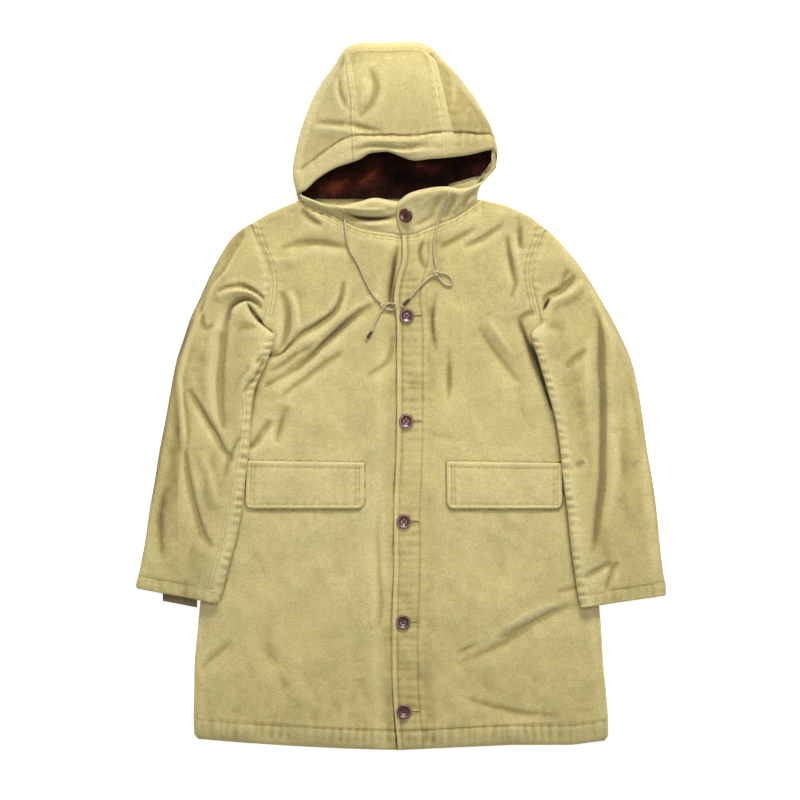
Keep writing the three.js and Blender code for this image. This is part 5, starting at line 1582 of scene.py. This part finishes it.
def build_button(node_name, x, y, base, normal):
    profile = smooth_path([(row.x, row.y) for row in BUTTON_PROFILE], 0.34)
    turn = np.linspace(0, 2 * math.pi, BUTTON_SECTORS + 1)[:-1]
    radius = np.maximum(profile[:, :1], 0)
    px, py = radius * np.cos(turn), radius * np.sin(turn)
    pz = profile[:, 1:] + 0 * px
    rings = np.arange(len(profile))[:, None]
    on_face = rings < len(profile) * 0.4
    for hx, hy in HOLE_PLACES:
        away = np.hypot(px - hx, py - hy) - HOLE_RADIUS * 0.6
        pz = pz - np.where(on_face, HOLE_DEPTH * (1 - smooth_step(away / 0.5)), 0)
    points = stacked(px, py, pz).reshape(-1, 3)
    turn_to = Vector((0, 0, 1)).rotation_difference(normal).to_matrix()
    turned = points @ np.array(turn_to).T + [x, y, base]
    index = np.arange(len(points)).reshape(len(profile), BUTTON_SECTORS)
    index = np.concatenate([index, index[:, :1]], 1)
    corners = [index[1:-2, :-1], index[1:-2, 1:], index[2:-1, 1:], index[2:-1, :-1]]
    faces = np.stack(corners, -1).reshape(-1, 4)[:, ::-1].tolist()
    faces += [index[1, :-1].tolist(), index[-2, :-1][::-1].tolist()]
    made = make_object(f"{node_name}_disc", turned, faces, PLASTIC)
    declare(made, "button_plastic", node_name)
    parts = []
    for (ax, ay), (bx, by) in zip(HOLE_PLACES[:2], HOLE_PLACES[2:]):
        for shift in (-0.35, 0.35):
            offset = np.array([shift * (1 if ax * ay < 0 else -1), shift, 0]) * 0.9
            line = np.array([
                (ax, ay, 2.0), (ax * 0.8, ay * 0.8, 3.0), (0, 0, 3.45),
                (bx * 0.8, by * 0.8, 3.0), (bx, by, 2.0),
            ])
            parts.append((line + offset) @ np.array(turn_to).T + [x, y, base])
    thread = build_tube_set(f"{node_name}_thread", parts, 0.38, 6, DARK_THREAD)
    declare(thread, "button_plastic")
    return made


# Round lines: cords, thread and tips


def ring_frames(path):
    """Two directions across a path at each of its points, without twist."""
    path = np.asarray(path, float)
    forward = np.gradient(path, axis=0)
    forward /= np.linalg.norm(forward, axis=1, keepdims=True)
    side = np.cross(forward[0], [0, 0, 1])
    if np.linalg.norm(side) < 1e-3:
        side = np.array([1.0, 0, 0])
    sides = []
    for direction in forward:
        side = side - direction * np.dot(side, direction)
        side = side / np.linalg.norm(side)
        sides.append(side)
    sides = np.array(sides)
    return sides, np.cross(forward, sides)


def tube_mesh(path, radii, around, start):
    path = np.asarray(path, float)
    side, up = ring_frames(path)
    turn = np.linspace(0, 2 * math.pi, around + 1)[:-1]
    radii = np.broadcast_to(np.asarray(radii, float), (len(path),))
    points = path[:, None] + radii[:, None, None] * (
        np.cos(turn)[None, :, None] * side[:, None] + np.sin(turn)[None, :, None] * up[:, None]
    )
    index = np.arange(len(path) * around).reshape(len(path), around) + start
    closed = np.concatenate([index, index[:, :1]], 1)
    corners = [closed[:-1, :-1], closed[:-1, 1:], closed[1:, 1:], closed[1:, :-1]]
    faces = np.stack(corners, -1).reshape(-1, 4).tolist()
    faces += [index[0][::-1].tolist(), index[-1].tolist()]
    return points.reshape(-1, 3), faces


def build_tube_set(name, paths, radius, around, material):
    points, faces, count = [], [], 0
    for path in paths:
        more, new_faces = tube_mesh(path, radius, around, count)
        points.append(more)
        faces += new_faces
        count += len(more)
    return make_object(name, np.concatenate(points), faces, material)


def lay_on(tree, route, clearance, spacing):
    """A route in plan laid on the cloth, as points a clearance above it."""
    plan = smooth_path(route, spacing)
    nearby = ((0, 0), (1.5, 0), (-1.5, 0), (0, 1.5), (0, -1.5))
    heights = np.array([max(height_at(tree, x + dx, y + dy)[0] for dx, dy in nearby) for x, y in plan])
    calm = np.convolve(np.pad(heights, 2, mode="edge"), np.ones(5) / 5, "valid")
    return stacked(plan[:, 0], plan[:, 1], np.maximum(calm, heights - 0.3) + clearance)


def build_drawcord(side, route, tip_route, tree):
    path = lay_on(tree, route, CORD_DIAMETER / 2 + 0.7, 1.6)
    path[:4, 2] -= np.array([2.2, 1.4, 0.6, 0.2])
    turns = np.arange(len(path)) * 1.6
    bead = CORD_DIAMETER / 2 * (1 + 0.05 * np.sin(turns * 2.4))
    points, faces = tube_mesh(path, bead, 12, 0)
    cord = make_object(f"drawcord_{side}_braid", points, faces, BRAID)
    declare(cord, "drawcord_braid", f"drawcord_{side}")

    tip_path = lay_on(tree, [tuple(path[-1, :2]), *tip_route], TIP_DIAMETER / 2, 1.2)
    tip_path[:, 2] += np.linspace(path[-1, 2] - tip_path[0, 2], 0, len(tip_path))
    share = np.linspace(0, 1, len(tip_path))
    end, before = tip_path[-1], tip_path[-4]
    direction = (end - before) / np.linalg.norm(end - before)
    end_path = np.array([end - direction * 1.2, end + direction * 0.6, end + direction * 1.6])
    blunt = 0.5 + 0.5 * rounded(np.minimum(share, 1 - share) * 14, 1.6)
    radii = TIP_DIAMETER / 2 * (0.86 + 0.14 * np.sin(np.pi * share)) * blunt
    points, faces = tube_mesh(tip_path, radii, 16, 0)
    tip = make_object(f"cord_tip_{side}_horn", points, faces, TIP)
    declare(tip, "cord_tip", f"cord_tip_{side}")

    knot_at = path[np.argmin(np.hypot(path[:, 0] - KNOTS[side].x, path[:, 1] - KNOTS[side].y))]
    turn = np.linspace(0, 4 * math.pi, 60)[:-1]
    radius = 3.0 + 1.3 * np.cos(turn * 1.5)
    knot_path = stacked(
        knot_at[0] + radius * np.cos(turn), knot_at[1] + radius * np.sin(turn),
        knot_at[2] + 1.4 + 1.3 * np.sin(turn * 1.5),
    )
    loop_path = lay_on(tree, LOOPS[side], CORD_DIAMETER / 2 + 0.6, 1.2)
    extras = [knot_path, loop_path, end_path]
    knot = build_tube_set(f"drawcord_{side}_knot", extras, CORD_DIAMETER / 2 * 0.9, 10, BRAID)
    declare(knot, "drawcord_braid")


KNOTS = {"right": Edge(-30, 154), "left": Edge(59, 209)}
LOOPS = {
    "right": [(-29, 155), (-19, 158), (-9, 156), (-9, 150), (-20, 147), (-31, 152)],
    "left": [(60, 210), (76, 208), (87, 197), (85, 189), (76, 190), (61, 206)],
}


# Stitching: rows of short raised stitches, placed on the cloth by a ray from above

STITCH_PITCH = 3.5
STITCH_LENGTH = 2.5
STITCH_RADIUS = 0.42

StitchRow = namedtuple("StitchRow", "path offsets")


def edge_path(name, low, high, shift=0):
    y = np.linspace(low, high, 40)
    return stacked(body_edge(name, y) + shift, y, y)[:, :2]


def hood_path(name, low, high):
    return np.array([along_rows(HOOD_ROWS, name, at) for at in np.linspace(low, high, 40)])


def casing_path(position):
    ring = hood_ring(position)
    across = np.concatenate([ring["right"][-26:, :2], ring["centre"][1:-1, :2], ring["left"][:22, :2]])
    return across[::3]


def flap_rows(flap):
    """Two rows beside each side of a flap, one under its top seam and one above its edge."""
    (right_x, right_y), (left_x, left_y) = flap.top_right, flap.top_left
    (low_right, low_left), low_y = flap.drop, flap.bottom + 7
    paths = []
    for inset in (8.5, 14):
        paths.append([(right_x + inset, right_y - 3), (low_right + inset, low_y)])
        paths.append([(left_x - inset, left_y - 3), (low_left - inset, low_y)])
    paths.append([(right_x + 3, right_y - 10), (left_x - 3, left_y - 10)])
    paths.append([(low_right + 8, low_y), (low_left - 8, low_y)])
    return [StitchRow(path, [0]) for path in paths]


STITCHING = {
    "stitching_armhole_right": [StitchRow(edge_path("right", 137, 288), [-6.5, -13])],
    "stitching_armhole_left": [StitchRow(edge_path("left", 137, 280), [6.5, 13])],
    "stitching_front_edge": [
        StitchRow(edge_path("front", -598, 270, 8.5), [0]),
        StitchRow(edge_path("front", -560, 262, 44), [0]),
    ],
    "stitching_hem": [
        StitchRow([(-349, -538), (-299, -546), (-240, -551), (-172, -557), (-90, -562), (-12, -565)], [0]),
        StitchRow([(-8, -565), (49, -564), (134, -559), (219, -555), (352, -548)], [0]),
    ],
    "stitching_pocket_flap_right": flap_rows(RIGHT_FLAP),
    "stitching_pocket_flap_left": flap_rows(LEFT_FLAP),
    "stitching_cuff_right": [
        StitchRow([(-447, -303), (-427, -307), (-385, -316), (-342, -326), (-312, -333)], [0]),
    ],
    "stitching_cuff_left": [
        StitchRow([(304, -338), (330, -334), (355, -329), (400, -321), (446, -311)], [0]),
    ],
    "stitching_underarm_right": [StitchRow([
        (-236, 65), (-240, 42), (-257, 20), (-267, 4), (-265, -23), (-269, -57), (-272, -91), (-279, -133),
        (-287, -167), (-298, -210), (-306, -252), (-318, -295), (-326, -326),
    ], [-2.4, 3.6])],
    "stitching_hood_seams": [
        StitchRow(hood_path("seam_right", 0.1, 5.9), [-2.6, -8.8]),
        StitchRow(hood_path("seam_left", 0.1, 5.9), [2.6, 8.8]),
    ],
    "stitching_hood_casing": [StitchRow(casing_path(1.12), [0])],
    "stitching_neck": [
        StitchRow([
            (-160, 320), (-150, 315), (-129, 309), (-99, 293), (-70, 280), (-44, 275), (-10, 272),
        ], [0, -6]),
        StitchRow([(8, 268), (24, 270), (49, 281), (66, 287), (92, 297), (109, 308), (130, 325)], [0, -6]),
    ],
}


def stitch_paths(tree, row, offset):
    path = smooth_path(row.path, 0.5)
    direction = np.gradient(path, axis=0)
    direction /= np.linalg.norm(direction, axis=1, keepdims=True)
    path = path + offset * stacked(-direction[:, 1], direction[:, 0], direction[:, 0])[:, :2]
    keys = np.concatenate([[0], np.cumsum(np.linalg.norm(np.diff(path, axis=0), axis=1))])
    for start in np.arange(1, keys[-1] - STITCH_PITCH, STITCH_PITCH):
        stitch = []
        for share, lift in ((0, -0.15), (0.5, 0.3), (1, -0.15)):
            at = start + share * STITCH_LENGTH
            x, y = (float(np.interp(at, keys, path[:, axis])) for axis in range(2))
            stitch.append((x, y, max(height_at(tree, x, y)[0] + lift, STITCH_RADIUS)))
        yield stitch


def build_stitching(tree):
    for name, rows in STITCHING.items():
        paths = [path for row in rows for offset in row.offsets for path in stitch_paths(tree, row, offset)]
        declare(build_tube_set(name, paths, STITCH_RADIUS, 4, THREAD), "shell_cloth")


def build_buttonholes(tree):
    """A worked edge of thread around each buttonhole, and a dark line laid in its slit as painted shadow."""
    edges, slit_shadows = [], []
    for button in FRONT_BUTTONS:
        turn = np.linspace(0, 2 * math.pi, 33)
        x = button.x + 13 + 14 * np.cos(turn)
        y = button.y + 1.6 * np.sign(np.sin(turn)) * np.abs(np.sin(turn)) ** 0.5
        edges.append([(px, py, height_at(tree, px, py)[0] + 0.15) for px, py in zip(x, y)])
        x = np.linspace(button.x, button.x + 26, 20)
        slit_shadows.append([(px, button.y, height_at(tree, px, button.y)[0] + 0.05) for px in x])
    for name, paths, radius, material in (
        ("buttonhole_thread", edges, 0.6, THREAD), ("buttonhole_slit_shadow", slit_shadows, 0.45, DARK_THREAD),
    ):
        declare(build_tube_set(name, paths, radius, 6, material), "shell_cloth")


# Camera, lights and floor


def build_stage():
    material, nodes, _ = new_material("floor")
    shader = nodes["Principled BSDF"]
    shader.inputs["Base Color"].default_value = (0.9, 0.9, 0.9, 1)
    shader.inputs["Roughness"].default_value = 0.9
    shader.inputs["Emission Color"].default_value = (1, 1, 1, 1)
    shader.inputs["Emission Strength"].default_value = 0.62
    half = FLOOR_SIZE / 2
    corners = [(x, y, FLOOR_LEVEL) for x, y in ((-half, -half), (half, -half), (half, half), (-half, half))]
    make_object("floor", corners, [(0, 1, 2, 3)], material, smooth=False)

    world = bpy.data.worlds.new("studio")
    world.use_nodes = True
    world.node_tree.nodes["Background"].inputs["Color"].default_value = (1, 1, 1, 1)
    world.node_tree.nodes["Background"].inputs["Strength"].default_value = 0.34
    bpy.context.scene.world = world

    lights = (
        ("window", (0.5, 3.2, 2.1), 1.7, 0.8, 190),
        ("overhead", (0.1, 0.0, 1.9), 0.9, 0.9, 17),
    )
    for name, place, wide, deep, power in lights:
        light = bpy.data.lights.new(name, "AREA")
        light.shape, light.size, light.size_y, light.energy = "RECTANGLE", wide, deep, power
        lamp = bpy.data.objects.new(name, light)
        lamp.location = place
        lamp.rotation_euler = (Vector((0, 0, 0)) - Vector(place)).to_track_quat("-Z", "Y").to_euler()
        lamp.visible_camera = False
        bpy.context.scene.collection.objects.link(lamp)

    camera = bpy.data.objects.new("camera", bpy.data.cameras.new("camera"))
    camera.data.sensor_width = SENSOR
    camera.data.lens = SENSOR * CAMERA_HEIGHT / VIEW_WIDTH
    camera.data.clip_end = 100
    camera.location = (VIEW_CENTRE[0] * MM, VIEW_CENTRE[1] * MM, CAMERA_HEIGHT * MM)
    bpy.context.scene.collection.objects.link(camera)
    bpy.context.scene.camera = camera
    bpy.context.scene.view_settings.view_transform = "Standard"


build_stage()
build_back()
FRONT_RIGHT = build_front("front_right", False)
FRONT_LEFT = build_front("front_left", True)
SLEEVE_RIGHT = build_sleeve("sleeve_right", RIGHT_SLEEVE_ROWS, -1)
SLEEVE_LEFT = build_sleeve("sleeve_left", LEFT_SLEEVE_ROWS, 1)
build_knit("cuff_knit_right", RIGHT_SLEEVE_ROWS, 13)
build_knit("cuff_knit_left", LEFT_SLEEVE_ROWS, -10)
HOOD_POSITIONS, HOOD_GRIDS = build_hood()
build_hood_inside(HOOD_POSITIONS, HOOD_GRIDS)
THROAT_RIGHT = build_throat("throat_right", RIGHT_THROAT, RIGHT_THROAT_FOLDS, 0)
THROAT_LEFT = build_throat("throat_left", LEFT_THROAT, LEFT_THROAT_FOLDS, -5)
FLAP_RIGHT = build_flap("pocket_flap_right", RIGHT_FLAP, False)
FLAP_LEFT = build_flap("pocket_flap_left", LEFT_FLAP, True)

CLOTH_TREE = tree_over([FRONT_RIGHT, FRONT_LEFT, THROAT_RIGHT, THROAT_LEFT])
for number, button in enumerate(FRONT_BUTTONS, 1):
    base, _ = height_at(CLOTH_TREE, button.x, button.y)
    build_button(f"button_{number}", button.x, button.y, base + 0.2, Vector((0, 0, 1)))
THROAT_TREE = tree_over([THROAT_LEFT])
east, west, north, south = (
    height_at(THROAT_TREE, THROAT_BUTTON.x + dx, THROAT_BUTTON.y + dy)[0]
    for dx, dy in ((11, 0), (-8, 0), (0, 10), (0, -10))
)
leaning = Vector((-(east - west) / 19 - 0.42, -(north - south) / 20, 1)).normalized()
base, _ = height_at(THROAT_TREE, THROAT_BUTTON.x, THROAT_BUTTON.y)
build_button("button_throat", THROAT_BUTTON.x, THROAT_BUTTON.y, base + 2.2, leaning)
build_drawcord("right", RIGHT_CORD_ROUTE, RIGHT_TIP_ROUTE, CLOTH_TREE)
build_drawcord("left", LEFT_CORD_ROUTE, LEFT_TIP_ROUTE, CLOTH_TREE)

HOOD = [bpy.data.objects[f"{name}_cloth"] for name in ("hood_centre", "hood_side_right", "hood_side_left")]
WHOLE_TREE = tree_over([
    FRONT_RIGHT, FRONT_LEFT, THROAT_RIGHT, THROAT_LEFT, SLEEVE_RIGHT, SLEEVE_LEFT,
    FLAP_RIGHT, FLAP_LEFT, *HOOD,
])
build_stitching(WHOLE_TREE)
build_buttonholes(CLOTH_TREE)
